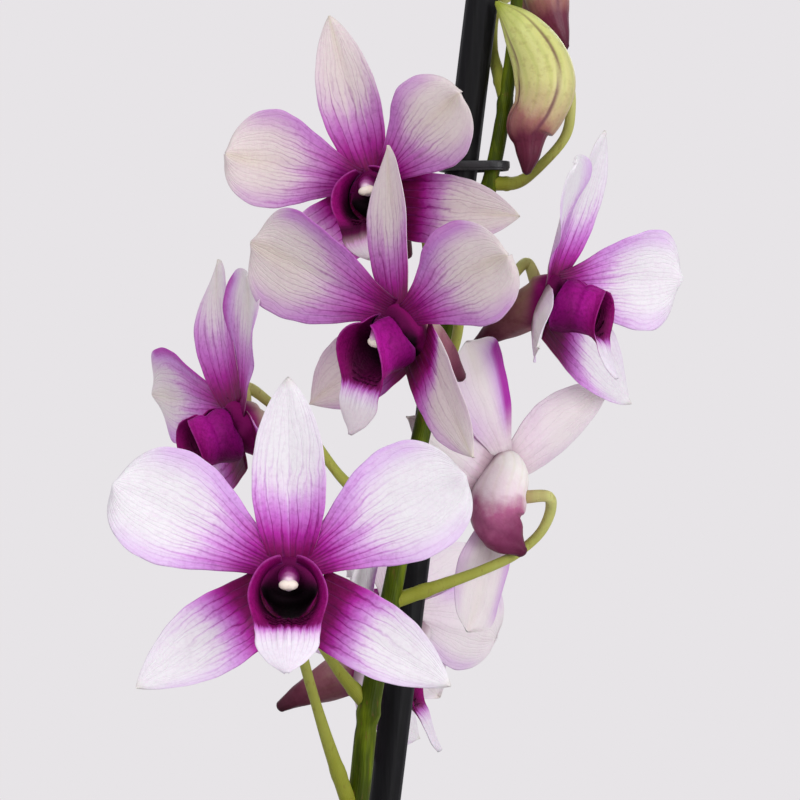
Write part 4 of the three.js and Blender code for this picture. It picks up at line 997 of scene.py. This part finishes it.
def lip(form, bloom, chance, steps=76, lanes=60):
    """The lip: side lobes rolled up round the column, three keels and a waved tongue."""
    s = np.linspace(0, 1, steps + 1)
    body = smooth(LIP_MIDDLE, steps) * (bloom.get("short", 1.0), 1)
    line = np.column_stack([np.zeros(len(body)), body])
    along = unit(np.gradient(line, axis=0))
    up = -np.cross(X, along)
    half = stops_at(LIP_HALF_WIDTH, s, 0.02)
    half[-1] = 0.3
    roll = stops_at(LIP_ROLL, s, 0.03)
    shut = bloom.get("shut", 0.0)           # how far its lobes close over the mouth
    half = half * (1 + shut * (0.5 * bump_at(s, 0.52, 0.07) + 0.35 * bump_at(s, 0.4, 0.06)))
    roll = roll * (1 - 0.3 * shut * bump_at(s, 0.55, 0.12))
    t = np.linspace(-1, 1, lanes + 1)
    s2, edge = s[:, None], np.abs(t)[None]
    crimp = 1 + 0.02 * np.sin(46 * s2 + 3 * np.sign(t)) * edge ** 6 * soft_step(s2, 0.2, 0.3)
    angle = np.clip(t * (half / roll)[:, None] * crimp, -LIP_FURTHEST, LIP_FURTHEST)
    radius = roll[:, None] * (1 + 0.07 * edge ** 4 * bump_at(s2, 0.4, 0.12)
                              + shut * (0.09 * bump_at(s2, 0.5, 0.05) - 0.07 * bump_at(s2, 0.41, 0.03)))
    grid = (line[:, None] + X * (radius * np.sin(angle))[..., None]
            + up[:, None] * (radius * (1 - np.cos(angle)))[..., None])
    inward = (up[:, None] * np.cos(angle)[..., None] - X * np.sin(angle)[..., None])
    width = t * half[:, None]
    keels = sum(bump_at(width, x, 0.5) * tall for x, tall in LIP_KEELS)
    relief = keels * soft_step(s2, 0.15, 0.4) * (1 - soft_step(s2, 0.7, 0.86))
    phase = chance.uniform(0, 6)
    relief = relief + 0.25 * np.sin(15 * s2 + phase + (t > 0) * 1.3) * edge ** 2 * soft_step(s2, 0.52, 0.7)
    relief = relief - 0.5 * edge ** 2 * soft_step(s2, 0.62, 0.8)
    relief = relief + 0.3 * np.sin(21 * s2 + phase * 2) * edge ** 8 * (1 - soft_step(s2, 0.42, 0.5))
    grid = grid + inward * relief[..., None]
    thick = 0.2 + 0.3 * (1 - edge ** 4)
    seed = chance.uniform(0, 40)
    form.blade(grid, thick, along=s2, across=t[None], seed=seed, cream=bloom["cream"],
               reach=bloom.get("stain", 0.0))
    for place, tall in LIP_CRESTS:
        k, some = int(place * steps), slice(lanes // 4, lanes - lanes // 4 + 1)
        lean = unit(inward[k, some] + along[k] * 0.8)
        fringe = tall * chance.uniform(0.25, 1.0, lean.shape[0]) * (1 - 0.4 * np.abs(t[some]))
        flap = grid[k, some] + lean * (np.linspace(-0.2, 1, 4)[:, None] * fringe)[..., None]
        form.blade(flap, 0.14, back=0.0, along=0.5, across=0.3, seed=seed, cream=bloom["cream"])


def column(form):
    """The column: a hooded body and its cap."""
    body = smooth(COLUMN, 30)
    line = np.column_stack([np.zeros(len(body)), body[:, 0], body[:, 1]])
    sides = 22
    s = np.linspace(0, 1, len(line))[:, None]
    ridge = (0.1 + 0.12 * soft_step(s, 0.6, 0.9)) * np.cos(2 * full_turn(sides)) * soft_step(s, 0.2, 0.6)
    form.tube(line, body[:, 2], sides, shape=1 + ridge)
    pole = 0.06                                         # keeps the cap's rings off its poles
    lat = np.linspace(pole, math.pi - pole, 12)[:, None]
    lon = full_turn(24)[None]
    cleft = 1 - 0.12 * bump_at(np.cos(lon), 0.0, 0.22)
    cap = np.stack([CAP["wide"] * np.sin(lat) * np.cos(lon) * cleft, -CAP["deep"] * np.cos(lat) + 0 * lon,
                    CAP["tall"] * np.sin(lat) * np.sin(lon) * cleft], -1)
    form.loft(cap + np.array(CAP["centre"]), back=1.0, along=1.0)


FINISH = dict(petal=petal_finish(), chin=chin_finish(), lip=lip_finish(), column=column_finish(),
              bud=bud_finish(), stem=stem_finish(), cane=cane_finish(), leaf=leaf_finish(),
              clay=clay_finish(), bark=bark_finish(), root=root_finish(), stake=stake_finish(),
              clip=clip_finish(), floor=floor_finish())


def blooms():
    """Each bloom is four pieces: its petals and sepals, its chin, its lip and its column."""
    for number, bloom in enumerate(BLOOMS, 1):
        chance = np.random.default_rng(40 + number)
        turn = bloom_turn(bloom)
        parts = {name: Form() for name in ("petals", "chin", "lip", "column")}
        for kind, stand in zip(TEPALS, bloom["tepals"]):
            tepal(parts["petals"], kind, stand, bloom, chance)
        chin(parts["chin"], bloom, chance)
        lip(parts["lip"], bloom, chance)
        column(parts["column"])
        for name, form in parts.items():
            aside = spin(bloom.get("aside", 0) if name in ("lip", "column") else 0, 0, 1)
            form.placed(turn @ aside, bloom["size"], bloom["at"])
            node = {"petals": "tepals", "chin": None}.get(name, name)
            form.piece(f"flower_{number}_{name}", FINISH["petal" if name == "petals" else name],
                       [f"bloom_{number}_{node}"] if node else [],
                       "petal" if name in ("petals", "chin") else name)


# ------------------------------------------------------------ stem and buds


def bloom_seat(bloom):
    """The last two points of a bloom's stalk: off the chin's back, and on it."""
    points = chin_points(bloom)
    at = bloom.get("seat_at", CHIN_SEAT)
    middle, radius = points[at, :3], points[at, 3]
    on = points[at + 1, :3] - middle
    away = unit(np.array(bloom.get("seat", (0, -on[2], on[1])), float))
    turn = bloom_turn(bloom)
    return [turn @ ((middle + away * (radius + off)) * bloom["size"]) + bloom["at"] for off in (4, -0.6)]


def bud_seat(bud):
    """The last two points of a bud's stalk: off the bud's side, and on it."""
    body = np.array(bud["body"])
    middle, radius = body[BUD_SEAT, :3], body[BUD_SEAT, 3]
    away = np.array(bud["stalk"][-1]) - middle
    along = unit(body[BUD_SEAT + 1, :3] - body[BUD_SEAT - 1, :3])
    away = unit(away - along * away.dot(along))
    return [middle + away * (radius + off) for off in (2, -0.4)]


def stalk(form, points, end_radius, chance):
    """A stalk, with a ring where it leaves the stem and furrows where it meets its bloom."""
    steps, sides = 72, 14
    line = smooth(points, steps)
    s = np.linspace(0, 1, steps + 1)
    widths = [STALK["stem_end"], STALK["radius"], STALK["radius"], end_radius * 0.95, end_radius]
    radii = np.interp(s, [0, 0.25, 0.6, 0.9, 1], widths)
    radii = radii * (1 + 0.14 * bump_at(s, 0.09, 0.012) + 0.03 * np.sin(17 * s + chance.uniform(0, 6)))
    turn = full_turn(sides)
    furrow = 1 - 0.05 * np.cos(3 * turn) * soft_step(s, 0.7, 0.95)[:, None]
    form.tube(line, radii, sides, shape=furrow, back=1.0)
    return line


def bract(form, foot, ahead, out, radius, tall):
    """A dry scale that clasps the stem below a stalk and ends in a point."""
    rows, lanes = 10, 16
    ahead, out = unit(ahead), unit(out - ahead * out.dot(ahead))
    beside = np.cross(ahead, out)
    s, t = np.linspace(0, 1, rows + 1)[:, None], np.linspace(-1, 1, lanes + 1)[None]
    angle = BRACT_WRAP * t * (1 - s ** 1.6 * 0.97)
    reach = radius + 0.25 + 0.9 * s ** 2 * tall / 6
    grid = (foot + ahead * (tall * s * (1 - 0.1 * t ** 2))[..., None]
            + out * (reach * np.cos(angle))[..., None] + beside * (reach * np.sin(angle))[..., None])
    form.blade(grid, 0.28, along=s, across=t)
    form.keep(back=np.full(len(form.points[-1]), 2.0))


def flower_stem():
    """The stem, swollen at its nodes, with every stalk and bract in the one piece."""
    form, chance = Form(), np.random.default_rng(3)
    steps, sides = 300, 20
    line = smooth(STEM_PATH, steps)
    radii = np.interp(np.linspace(0, 1, steps + 1), np.linspace(0, 1, len(STEM_RADII)), STEM_RADII)
    shoots = [grown["stalk"][:2] for grown in (*BLOOMS, *BUDS) if grown["stalk"]] + BARE_NODES
    nodes = [int(np.argmin(np.abs(line[:, 2] - start[2] + 1))) for start, _ in shoots]
    height = line[:, 2]
    swell = sum(0.3 * bump_at(height, height[k], 1.1) - 0.12 * bump_at(height, height[k] - 2.4, 0.9)
                for k in nodes)
    turn = full_turn(sides)
    angular = 1 + 0.018 * np.cos(5 * turn)[None]
    form.tube(line, radii + swell * (radii / 2), sides, shape=angular)
    for bloom in BLOOMS:
        stalk(form, [*bloom["stalk"], *bloom_seat(bloom)], STALK["bloom_end"], chance)
    for bud in BUDS:
        if bud["stalk"]:
            stalk(form, [*bud["stalk"], *bud_seat(bud)], STALK["radius"], chance)
    for k, (_, toward) in zip(nodes, shoots):
        ahead = line[min(k + 2, steps)] - line[k - 2]
        out = np.array(toward, float) - line[k]
        tall = next(size for limit, size in BRACT_SIZES if line[k][2] < limit)
        bract(form, line[k] - unit(ahead) * tall * 0.55, ahead, out, radii[k] + 0.1, tall)
    form.piece("flower_stem", FINISH["stem"], ["flower_spike"], "stem")


def buds():
    """Six closed buds, each with its seams."""
    for number, bud in enumerate(BUDS, 1):
        form = Form()
        body = smooth(bud["body"], 64)
        first, last = body[0], body[-1]
        point = first[:3] - unit(body[1, :3] - first[:3]) * 0.4
        heel = last[:3] + unit(last[:3] - body[-2, :3]) * last[3] * np.array([[0.5], [0.9]])
        line = np.vstack([point, body[:, :3], heel])
        radii = np.concatenate([[0.08], body[:, 3], last[3] * np.array([0.8, 0.25])])
        sides = 40
        turn = full_turn(sides)[None]
        s = np.linspace(0, 1, len(line))[:, None]
        seams = sum(bump_at(np.angle(np.exp(1j * (turn - seam - 0.5 * s))), 0, 0.11) for seam in BUD_SEAMS)
        shape = 1 - 0.09 * seams * soft_step(s, 0.03, 0.2) * (1 - soft_step(s, 0.75, 0.95))
        shape = shape * (1 + 0.03 * np.cos(3 * (turn - 0.9)))
        form.tube(line, radii, sides, shape=shape, rim=seams)
        form.piece(f"flower_bud_{number}", FINISH["bud"], [f"bud_{number}"], "bud")


# -------------------------------------------------------------- canes, leaves


def cane_line(cane, count):
    """Middle line and radii of a cane."""
    line = smooth([cane["foot"], cane["middle"], cane["top"]], count)
    s = np.linspace(0, 1, count + 1)
    ends = CANE["foot"] + (CANE["top"] - CANE["foot"]) * s
    swell = (cane["radius"] - ends) * np.maximum(np.sin(math.pi * np.minimum(1, s * 1.05)), 0) ** 0.8
    return line, ends + np.maximum(0, swell)


def canes():
    """Ribbed canes with a ring at every joint and a papery sheath above it."""
    for number, cane in enumerate(CANES, 1):
        form = Form()
        steps, sides = 150, 40
        line, radii = cane_line(cane, steps)
        s = np.linspace(0, 1, steps + 1)
        joint = s * CANE["rings"] / 2 % 1      # 0 at each joint, rising to the next
        near = np.minimum(joint, 1 - joint)
        radii = radii + 0.35 * bump_at(near, 0, 0.05) - 0.3 * bump_at(joint, 0.1, 0.05) + 0.15
        turn = full_turn(sides)[None]
        hem = joint[:, None] + 0.08 * np.sin(turn * 2 + number) + 0.03 * np.sin(7 * turn)
        sheath = soft_step(joint, 0.02, 0.05)[:, None] * (1 - soft_step(hem, 0.62, 0.66))
        sheath = sheath * (s[:, None] < 0.86)
        ribs = 1 + 0.014 * np.cos(13 * turn) * (1 - sheath) + 0.03 * sheath
        tip = line[-1] + unit(line[-1] - line[-2]) * np.array([[0.35], [0.5]])
        ends = np.concatenate([radii, radii[-1] * np.array([0.8, 0.3])])
        grow = np.vstack([ribs, np.ones((2, sides))])
        cover = np.vstack([sheath, np.zeros((2, sides))])
        ring = np.concatenate([bump_at(near, 0, 0.035), [0, 0]])[:, None]
        form.tube(np.vstack([line, tip]), ends, sides, shape=grow, back=cover, rim=ring)
        form.piece(f"swollen_cane_{number}", FINISH["cane"], [f"cane_{number}"], "cane")


def leaf_blade(form, root, out, leaf, chance, steps=64, lanes=24):
    """A channelled blade that rises from its root and arches over."""
    rise, droop, length, half_width = leaf
    s = np.linspace(0, 1, steps + 1)
    heading, up = turned_pair(out, Z, rise + droop * s)
    stride = heading[1:] * np.diff(s)[:, None] * length
    middle = root + np.vstack([np.zeros(3), np.cumsum(stride, 0)])
    outline = dict(rise=LEAF["rise"], fall=LEAF["fall"], base=LEAF["base"] / half_width)
    half = np.maximum(half_width * outline_at(outline, s), 0.25)[:, None]
    s, t = s[:, None], np.linspace(-1, 1, lanes + 1)
    edge = np.abs(t)[None]
    channel = LEAF["channel"] * edge
    beside = np.array([-out[1], out[0], 0])
    grid = (middle[:, None] + beside * (t * half * np.cos(channel))[..., None]
            + up[:, None] * (half * np.sin(channel))[..., None])
    lift = 0.7 * np.sin(WHOLE_TURN * (1.4 * s + chance.uniform(0, 1)) + (t > 0) * 1.7) * edge ** 2
    lift = lift * soft_step(s, 0.1, 0.4) - 0.5 * bump_at(t * half, 0, 0.7) * (1 - s)
    lift = lift + 0.05 * np.cos(WHOLE_TURN * 9 * t)
    thick = (0.35 + 0.5 * (1 - edge ** 2)) * (1 - 0.4 * s)
    form.blade(grid + up[:, None] * lift[..., None], thick, along=s, across=t[None],
               seed=chance.uniform(0, 40))


def leaf_sheath(form, on_cane, ahead, out, radius, chance, rows=22, lanes=28):
    """The leaf's foot, which clasps its cane and opens towards the blade."""
    u, v = np.linspace(0, 1, rows + 1)[:, None], np.linspace(-1, 1, lanes + 1)[None]
    flat = unit(out - ahead * out.dot(ahead))
    side = np.cross(ahead, flat)
    tall = LEAF["sheath"]
    angle = v * math.pi * (0.97 - 0.62 * u ** 3)
    reach = radius + 0.55 + (GAP + LEAF_THICKNESS) * soft_step(u, 0.55, 1.0) * bump_at(angle, 0, 0.9)
    sheath = (on_cane + ahead * (-tall + (tall + 1.6) * u)[..., None]
              + flat * (reach * np.cos(angle))[..., None] + side * (reach * np.sin(angle))[..., None])
    form.blade(sheath, 0.5, along=u * 0.3, across=v * 0.9, seed=chance.uniform(0, 40), rim=1.0)


def leaves():
    """Each leaf: a blade, and the sheath that it grows from."""
    for number, (cane, up_cane, compass, *leaf) in enumerate(LEAVES, 1):
        form, chance = Form(), np.random.default_rng(80 + number)
        line, radii = cane_line(CANES[cane], CANE["rings"])
        radii = radii + CANE["swell"] * (np.arange(len(radii)) % 2)
        place = up_cane * CANE["rings"]
        below = int(place)
        ahead = line[below + 1] - line[below]
        on_cane = line[below] + ahead * (place - below)
        radius = max(radii[below], radii[below + 1])
        compass = math.radians(compass)
        out = np.array([math.cos(compass), math.sin(compass), 0])
        leaf_blade(form, on_cane + out * (radius + GAP + LEAF_THICKNESS), out, leaf, chance)
        leaf_sheath(form, on_cane, unit(ahead), out, radius, chance)
        form.piece(f"green_leaf_{number}", FINISH["leaf"], [f"leaf_{number}"], "leaf")


# --------------------------------------------------------------- pot and bark


def pot_inside(z):
    """Inside radius of the pot at a height."""
    share = (z - POT["floor"]) / (POT["height"] - POT["floor"])
    return POT["foot"] + (POT["rim"] - POT["step"] - POT["foot"]) * share - POT["wall"]


def rounded(profile, radius, steps=5):
    """A profile whose corners are rounded."""
    made = [profile[0]]
    for before, corner, after in zip(profile, profile[1:], profile[2:]):
        before, corner, after = (np.array(p, float) for p in (before, corner, after))
        into, away = before - corner, after - corner
        cut = min(radius, 0.45 * np.linalg.norm(into), 0.45 * np.linalg.norm(away))
        a, b = corner + unit(into) * cut, corner + unit(away) * cut
        for w in np.linspace(0, 1, steps):
            made.append((1 - w) ** 2 * a + 2 * w * (1 - w) * corner + w ** 2 * b)
    return np.array([*made, profile[-1]], float)


def pot():
    """The pot, with its collar, its soft edges and its throwing marks."""
    height, collar = POT["height"], POT["collar"]
    neck = POT["foot"] + (POT["rim"] - POT["step"] - POT["foot"]) * (height - collar) / height
    profile = [(0.2, 0), (POT["foot"] - 1, 0), (POT["foot"], 1.2), (neck, height - collar),
               (neck + POT["step"], height - collar + 1.5), (POT["rim"], height - 1.5),
               (POT["rim"] - 1.5, height), (pot_inside(height) + 1.2, height),
               (pot_inside(height), height - 1.2), (pot_inside(POT["floor"]), POT["floor"]),
               (0.2, POT["floor"])]
    line = rounded(profile, 1.4)
    dense = [line[0]]
    for a, b in zip(line, line[1:]):
        count = max(1, int(np.linalg.norm(b - a) / 2.4))
        dense += [a + (b - a) * k / count for k in range(1, count + 1)]
    line = np.array(dense)
    radius, z = line[:, 0], line[:, 1]
    turn = full_turn(144)[None]
    wall = (radius > 30)[:, None] * 1.0
    marks = 0.10 * np.sin(z * 1.9) + 0.06 * np.sin(z * 0.7 + 1)
    marks = marks[:, None] + 0.12 * np.sin(2 * turn + z[:, None] * 0.02)
    outside = soft_step(z, 2, 6) * (1 - soft_step(z, height - 3, height - 1))
    reach = radius[:, None] + marks * wall * outside[:, None] - 0.16 * wall
    damp = np.abs(np.clip(z / height, 0, 1) - 0.45) * 2
    form = Form()
    form.loft(spun(reach, turn, z[:, None]), along=damp[:, None])
    form.piece("clay_pot", FINISH["clay"], ["pot"], "pot")


class Growth:
    """A geometry-node tree with named inputs, run once on a ground mesh."""

    KINDS = {float: "NodeSocketFloat", int: "NodeSocketInt"}

    def __init__(self, name, **sizes):
        self.tree = bpy.data.node_groups.new(name, "GeometryNodeTree")
        self.tree.interface.new_socket("Ground", in_out="INPUT", socket_type="NodeSocketGeometry")
        self.tree.interface.new_socket("Geometry", in_out="OUTPUT", socket_type="NodeSocketGeometry")
        self.sizes, self.ids = sizes, {}
        for size, value in sizes.items():
            kind = self.KINDS[type(value)]
            made = self.tree.interface.new_socket(size, in_out="INPUT", socket_type=kind)
            self.ids[size] = made.identifier
        self.source = self.tree.nodes.new("NodeGroupInput")
        self.end = self.tree.nodes.new("NodeGroupOutput")

    def size(self, name):
        return self.source.outputs[name]

    def node(self, kind, settings=None, values=None):
        """One node: its type, its settings, and the values or links of its sockets."""
        made = self.tree.nodes.new(kind)
        for name, value in (settings or {}).items():
            setattr(made, name, value)
        for name, value in (values or {}).items():
            if isinstance(value, bpy.types.NodeSocket):
                self.tree.links.new(value, made.inputs[name])
            else:
                made.inputs[name].default_value = value
        return made

    def scatter(self, shapes, keep_upright=0.0):
        """Copies of the shapes at even spacing, turned and sized at random."""
        spots = self.node("GeometryNodeDistributePointsOnFaces", {"distribute_method": "POISSON"}, {
            "Mesh": self.source.outputs["Ground"], "Distance Min": self.size("Spacing"),
            "Density Max": self.size("Most per area"), "Seed": self.size("Seed")})
        join = self.node("GeometryNodeGeometryToInstance")
        for shape in shapes:
            info = self.node("GeometryNodeObjectInfo", {}, {"Object": shape, "As Instance": False})
            self.tree.links.new(info.outputs["Geometry"], join.inputs[0])
        pick = self.node("FunctionNodeRandomValue", {"data_type": "INT"}, {
            4: 0, 5: len(shapes) - 1, "Seed": self.size("Seed")})
        size = self.node("FunctionNodeRandomValue", {"data_type": "FLOAT"}, {
            2: self.size("Smallest"), 3: self.size("Largest"), "Seed": self.size("Seed")})
        spin = self.node("FunctionNodeRandomValue", {"data_type": "FLOAT_VECTOR"}, {
            0: (-keep_upright, -keep_upright, 0), 1: (keep_upright, keep_upright, 6.283),
            "Seed": self.size("Seed")})
        turn = self.node("FunctionNodeRotateRotation", {"rotation_space": "LOCAL"}, {
            0: spots.outputs["Rotation"], 1: spin.outputs[0]})
        copies = self.node("GeometryNodeInstanceOnPoints", {}, {
            "Points": spots.outputs["Points"], "Instance": join.outputs[0], "Pick Instance": True,
            "Instance Index": pick.outputs[2], "Rotation": turn.outputs[0], "Scale": size.outputs[1]})
        return copies

    def run(self, name, ground, shapes, finish, last):
        """Closes the tree, runs it on the ground and keeps the result as a plain mesh."""
        real = self.node("GeometryNodeRealizeInstances", {}, {0: last.outputs[0]})
        paint = self.node("GeometryNodeSetMaterial", {}, {"Geometry": real.outputs[0], "Material": finish})
        self.tree.links.new(paint.outputs[0], self.end.inputs[0])
        live = ground.modifiers.new(name, "NODES")
        live.node_group = self.tree
        for size, value in self.sizes.items():
            live[self.ids[size]] = value
        seen = ground.evaluated_get(bpy.context.evaluated_depsgraph_get())
        mesh = bpy.data.meshes.new_from_object(seen)
        ground.modifiers.clear()
        mesh.name = name
        made = bpy.data.objects.new(name, mesh)
        bpy.context.scene.collection.objects.link(made)
        for spare in (ground, *shapes):
            bpy.data.objects.remove(spare)
        return made


def loose_object(name, points, faces):
    """A helper mesh, in metres, that other pieces are grown from."""
    mesh = bpy.data.meshes.new(name)
    mesh.from_pydata([list(p) for p in points], [], faces)
    mesh.polygons.foreach_set("use_smooth", [False] * len(mesh.polygons))
    mesh.update()
    made = bpy.data.objects.new(name, mesh)
    bpy.context.scene.collection.objects.link(made)
    return made


def chip_shapes(count):
    """Bark chips: slabs with broken, slanting sides."""
    made = []
    for number in range(count):
        chance = np.random.default_rng(200 + number)
        sides = 9
        turn = np.sort(full_turn(sides) + chance.uniform(-0.2, 0.2, sides))
        wide, deep, tall = 7.5 * chance.uniform(0.8, 1.2), 4.8 * chance.uniform(0.8, 1.2), 4.6
        edge = (np.abs(np.cos(turn)) ** 3 + np.abs(np.sin(turn)) ** 3) ** (-1 / 3)
        edge = edge * chance.uniform(0.82, 1.12, sides)
        rings = []
        for shrink, z in CHIP_LEVELS:
            shift = chance.uniform(-0.6, 0.6, 2)
            rough = chance.uniform(0.93, 1.07, sides)
            rings.append(np.column_stack([wide * edge * rough * shrink * np.cos(turn) + shift[0],
                                          deep * edge * rough * shrink * np.sin(turn) + shift[1],
                                          tall * z + chance.uniform(-0.45, 0.45, sides)]))
        index = np.arange(len(rings) * sides).reshape(-1, sides)
        faces = quads(index[:-1], index[1:]) + [index[0][::-1].tolist(), index[-1].tolist()]
        made.append(loose_object(f"chip_{number}", np.vstack(rings) * MM, faces))
    return made


def bark_bed():
    """The filling: a dark bed of crumbs that rises a little in the middle."""
    rows, lanes = 40, 120
    reach = np.linspace(0.01, 1, rows)[:, None] ** 0.8
    turn = full_turn(lanes)[None]
    chance = np.random.default_rng(5)
    wide = pot_inside(BARK_TOP) - GAP
    top = BARK_TOP - 3 + BARK_CROWN * (1 - reach ** 2)
    top = top + 0.8 * np.sin(7 * turn + 20 * reach) * np.sin(11 * reach * 3 + turn * 3)
    top = top + chance.uniform(-0.35, 0.35, (rows, lanes))
    flat = spun(wide * reach, turn, top)
    deep = flat[-1].copy()
    deep[:, 2] = BARK_TOP - BARK_DEPTH
    lowest = deep * [0.05, 0.05, 1]
    form = Form()
    form.loft(np.concatenate([flat, deep[None], lowest[None]]))
    form.piece("bark_bed", FINISH["bark"], ["bark"], "bark")


def bark_chips():
    """Two layers of loose chips, scattered over the bed."""
    wide = pot_inside(BARK_TOP) - GAP
    reach = np.linspace(0.05, 0.90, 12)[:, None]
    turn = full_turn(48)[None]
    index = np.arange(reach.size * turn.size).reshape(reach.size, turn.size)
    faces = [[a, d, c, b] for a, b, c, d in quads(index[:-1], index[1:])]
    for layer, (lift, spacing, most, seed) in enumerate(BARK_LAYERS, 1):
        top = BARK_TOP + lift + BARK_CROWN * (1 - reach ** 2)
        ground = spun(wide * reach, turn, top).reshape(-1, 3) * MM
        shapes = chip_shapes(6)
        bed = loose_object("bed", ground, faces)
        growth = Growth("bark_layer", **{"Spacing": spacing * MM, "Most per area": most, "Smallest": 0.62,
                                         "Largest": 1.05, "Seed": seed})
        made = growth.run(f"bark_chips_{layer}", bed, shapes, FINISH["bark"], growth.scatter(shapes, 0.45))
        settle(made)


def roots():
    """Roots that creep out over the bark and taper to their tips."""
    form, chance = Form(), np.random.default_rng(9)
    for cane, compass, length, turn in ROOTS:
        line, _ = cane_line(CANES[cane], CANE["rings"])
        x, y, _ = line[2]
        s = np.linspace(0, 1, 50)
        angle = np.radians(compass + turn * s)
        wander = 0.8 * np.sin(9 * s + chance.uniform(0, 6)) * s
        height = BARK_TOP + BARK_CROWN + ROOT_RADIUS + 2.6 - 5 * s * s + 0.5 * np.sin(7 * s)
        path = np.column_stack([x + length * s * np.cos(angle) + wander,
                                y + length * s * np.sin(angle) - wander, height])
        radii = ROOT_RADIUS * (1 - 0.5 * s) * (1 + 0.05 * np.sin(40 * s + chance.uniform(0, 6)))
        radii[-5:] *= np.array([0.97, 0.9, 0.75, 0.5, 0.15])
        form.tube(path, radii, 14)
    form.piece("creeping_roots", FINISH["root"], slot="bark")


# -------------------------------------------------------------- stake and clip


def stake():
    """The stake: a pointed foot, a long body drawn lengthways and a domed cap."""
    foot, top = np.array(STAKE["foot"], float), np.array(STAKE["top"], float)
    along = unit(top - foot)
    ends = [foot + along * past for past, _ in STAKE_FOOT]
    body = [foot + (top - along * 2 - foot) * w for w in np.linspace(0.01, 1, 60)]
    cap = [top + along * past for past, _ in STAKE_CAP]
    line = np.array([*ends, *body, *cap])
    radii = [*[r for _, r in STAKE_FOOT], *[STAKE["radius"]] * len(body), *[r for _, r in STAKE_CAP]]
    sides = 40
    turn = full_turn(sides)[None]
    s = np.linspace(0, 1, len(line))[:, None]
    drawn = 1 + 0.012 * np.cos(10 * turn) - 0.012 + 0.006 * np.sin(31 * s + 2 * turn)
    form = Form()
    form.tube(line, radii, sides, shape=drawn)
    form.piece("black_stake", FINISH["stake"], ["stake"], "stake")


def at_height(line, z):
    """The point of a rising line at a height."""
    k = int(np.argmax(line[:, 2] >= z))
    share = (z - line[k - 1, 2]) / (line[k, 2] - line[k - 1, 2])
    return line[k - 1] + (line[k] - line[k - 1]) * share


def clip():
    """The band round stake and stem, with its wire under it."""
    stem = at_height(smooth(STEM_PATH, 300), CLIP["height"])
    post = at_height(np.array([STAKE["foot"], STAKE["top"]], float), CLIP["height"])
    apart = stem - post
    turn, reach = math.atan2(apart[1], apart[0]), math.hypot(apart[0], apart[1])
    east = np.array([math.cos(turn), math.sin(turn), 0])
    north = np.array([-math.sin(turn), math.cos(turn), 0])
    middle = CLIP["clear"] + CLIP["band"] / 2
    around = []
    for shift, bend, start, end, count in ((0, STAKE["radius"] + middle, 0.5, 1.5, 28),
                                           (reach, CLIP["stem"] + middle, -0.5, 0.5, 22)):
        for angle in np.linspace(start * math.pi, end * math.pi, count):
            around.append((shift + math.cos(angle) * bend, math.sin(angle) * bend))
    path = np.array([post + east * x + north * y for x, y in around])
    out = np.cross(unit(np.roll(path, -1, 0) - np.roll(path, 1, 0)), Z)
    cos, sin = np.cos(full_turn(16)), np.sin(full_turn(16))
    wide = np.sign(cos) * np.abs(cos) ** 0.4 * CLIP["band"] * 0.42
    tall = np.sign(sin) * np.abs(sin) ** 0.4 * CLIP["tall"] * 0.5
    form = Form()
    form.loft(path[:, None] + out[:, None] * wide[None, :, None] + Z * tall[None, :, None], closed=True)
    cos, sin = np.cos(full_turn(8)), np.sin(full_turn(8))
    under = path - Z * (CLIP["tall"] * 0.5 + 0.1)
    wire = out[:, None] * cos[None, :, None] + Z * sin[None, :, None]
    form.loft(under[:, None] + CLIP["wire"] * wire, closed=True)
    form.piece("stake_clip", FINISH["clip"], ["clip"], "clip")


# ------------------------------------------------------------------- studio


def floor():
    """A pale round floor."""
    turn = full_turn(96)
    disc = [(FLOOR_RADIUS * math.cos(a), FLOOR_RADIUS * math.sin(a), 0.0) for a in turn]
    made = loose_object("floor", disc, [list(range(len(disc)))])
    made.data.materials.append(FINISH["floor"])


def sky():
    """Plain soft light from all round, behind a plain pale ground."""
    world = bpy.data.worlds.new("studio")
    bpy.context.scene.world = world
    world.use_nodes = True
    tree = world.node_tree
    tree.nodes.clear()
    seen, light = (tree.nodes.new("ShaderNodeBackground") for _ in range(2))
    seen.inputs[0].default_value = colour(231, 228, 231)
    light.inputs[0].default_value = colour(250, 248, 255)
    light.inputs[1].default_value = SKY_LIGHT
    ray, mix = tree.nodes.new("ShaderNodeLightPath"), tree.nodes.new("ShaderNodeMixShader")
    end = tree.nodes.new("ShaderNodeOutputWorld")
    tree.links.new(ray.outputs["Is Camera Ray"], mix.inputs[0])
    tree.links.new(light.outputs[0], mix.inputs[1])
    tree.links.new(seen.outputs[0], mix.inputs[2])
    tree.links.new(mix.outputs[0], end.inputs[0])


def lamps():
    """Soft lamps in front, beside and behind."""
    for name, (spot, size, watts) in LAMPS.items():
        lamp = bpy.data.lights.new(name, "AREA")
        lamp.size, lamp.energy = size, watts
        made = bpy.data.objects.new(name, lamp)
        made.location = spot
        back = np.array(spot, float) - np.array(LAMP_AIM)
        made.rotation_euler = (math.atan2(math.hypot(back[0], back[1]), back[2]), 0,
                               math.atan2(back[0], -back[1]))
        bpy.context.scene.collection.objects.link(made)


def camera():
    """The camera, level with the blooms."""
    lens = bpy.data.cameras.new("camera")
    lens.sensor_width = CAMERA["sensor"]
    lens.lens = CAMERA["sensor"] * -CAMERA["at"][1] / CAMERA["view"]
    lens.clip_start, lens.clip_end = 0.01, 20
    made = bpy.data.objects.new("camera", lens)
    made.location = [place * MM for place in CAMERA["at"]]
    made.rotation_euler = (math.pi / 2, 0, 0)
    bpy.context.scene.collection.objects.link(made)
    bpy.context.scene.camera = made
    bpy.context.scene.view_settings.view_transform = "Standard"


blooms()
flower_stem()
buds()
canes()
leaves()
pot()
bark_bed()
bark_chips()
roots()
stake()
clip()
floor()
sky()
lamps()
camera()
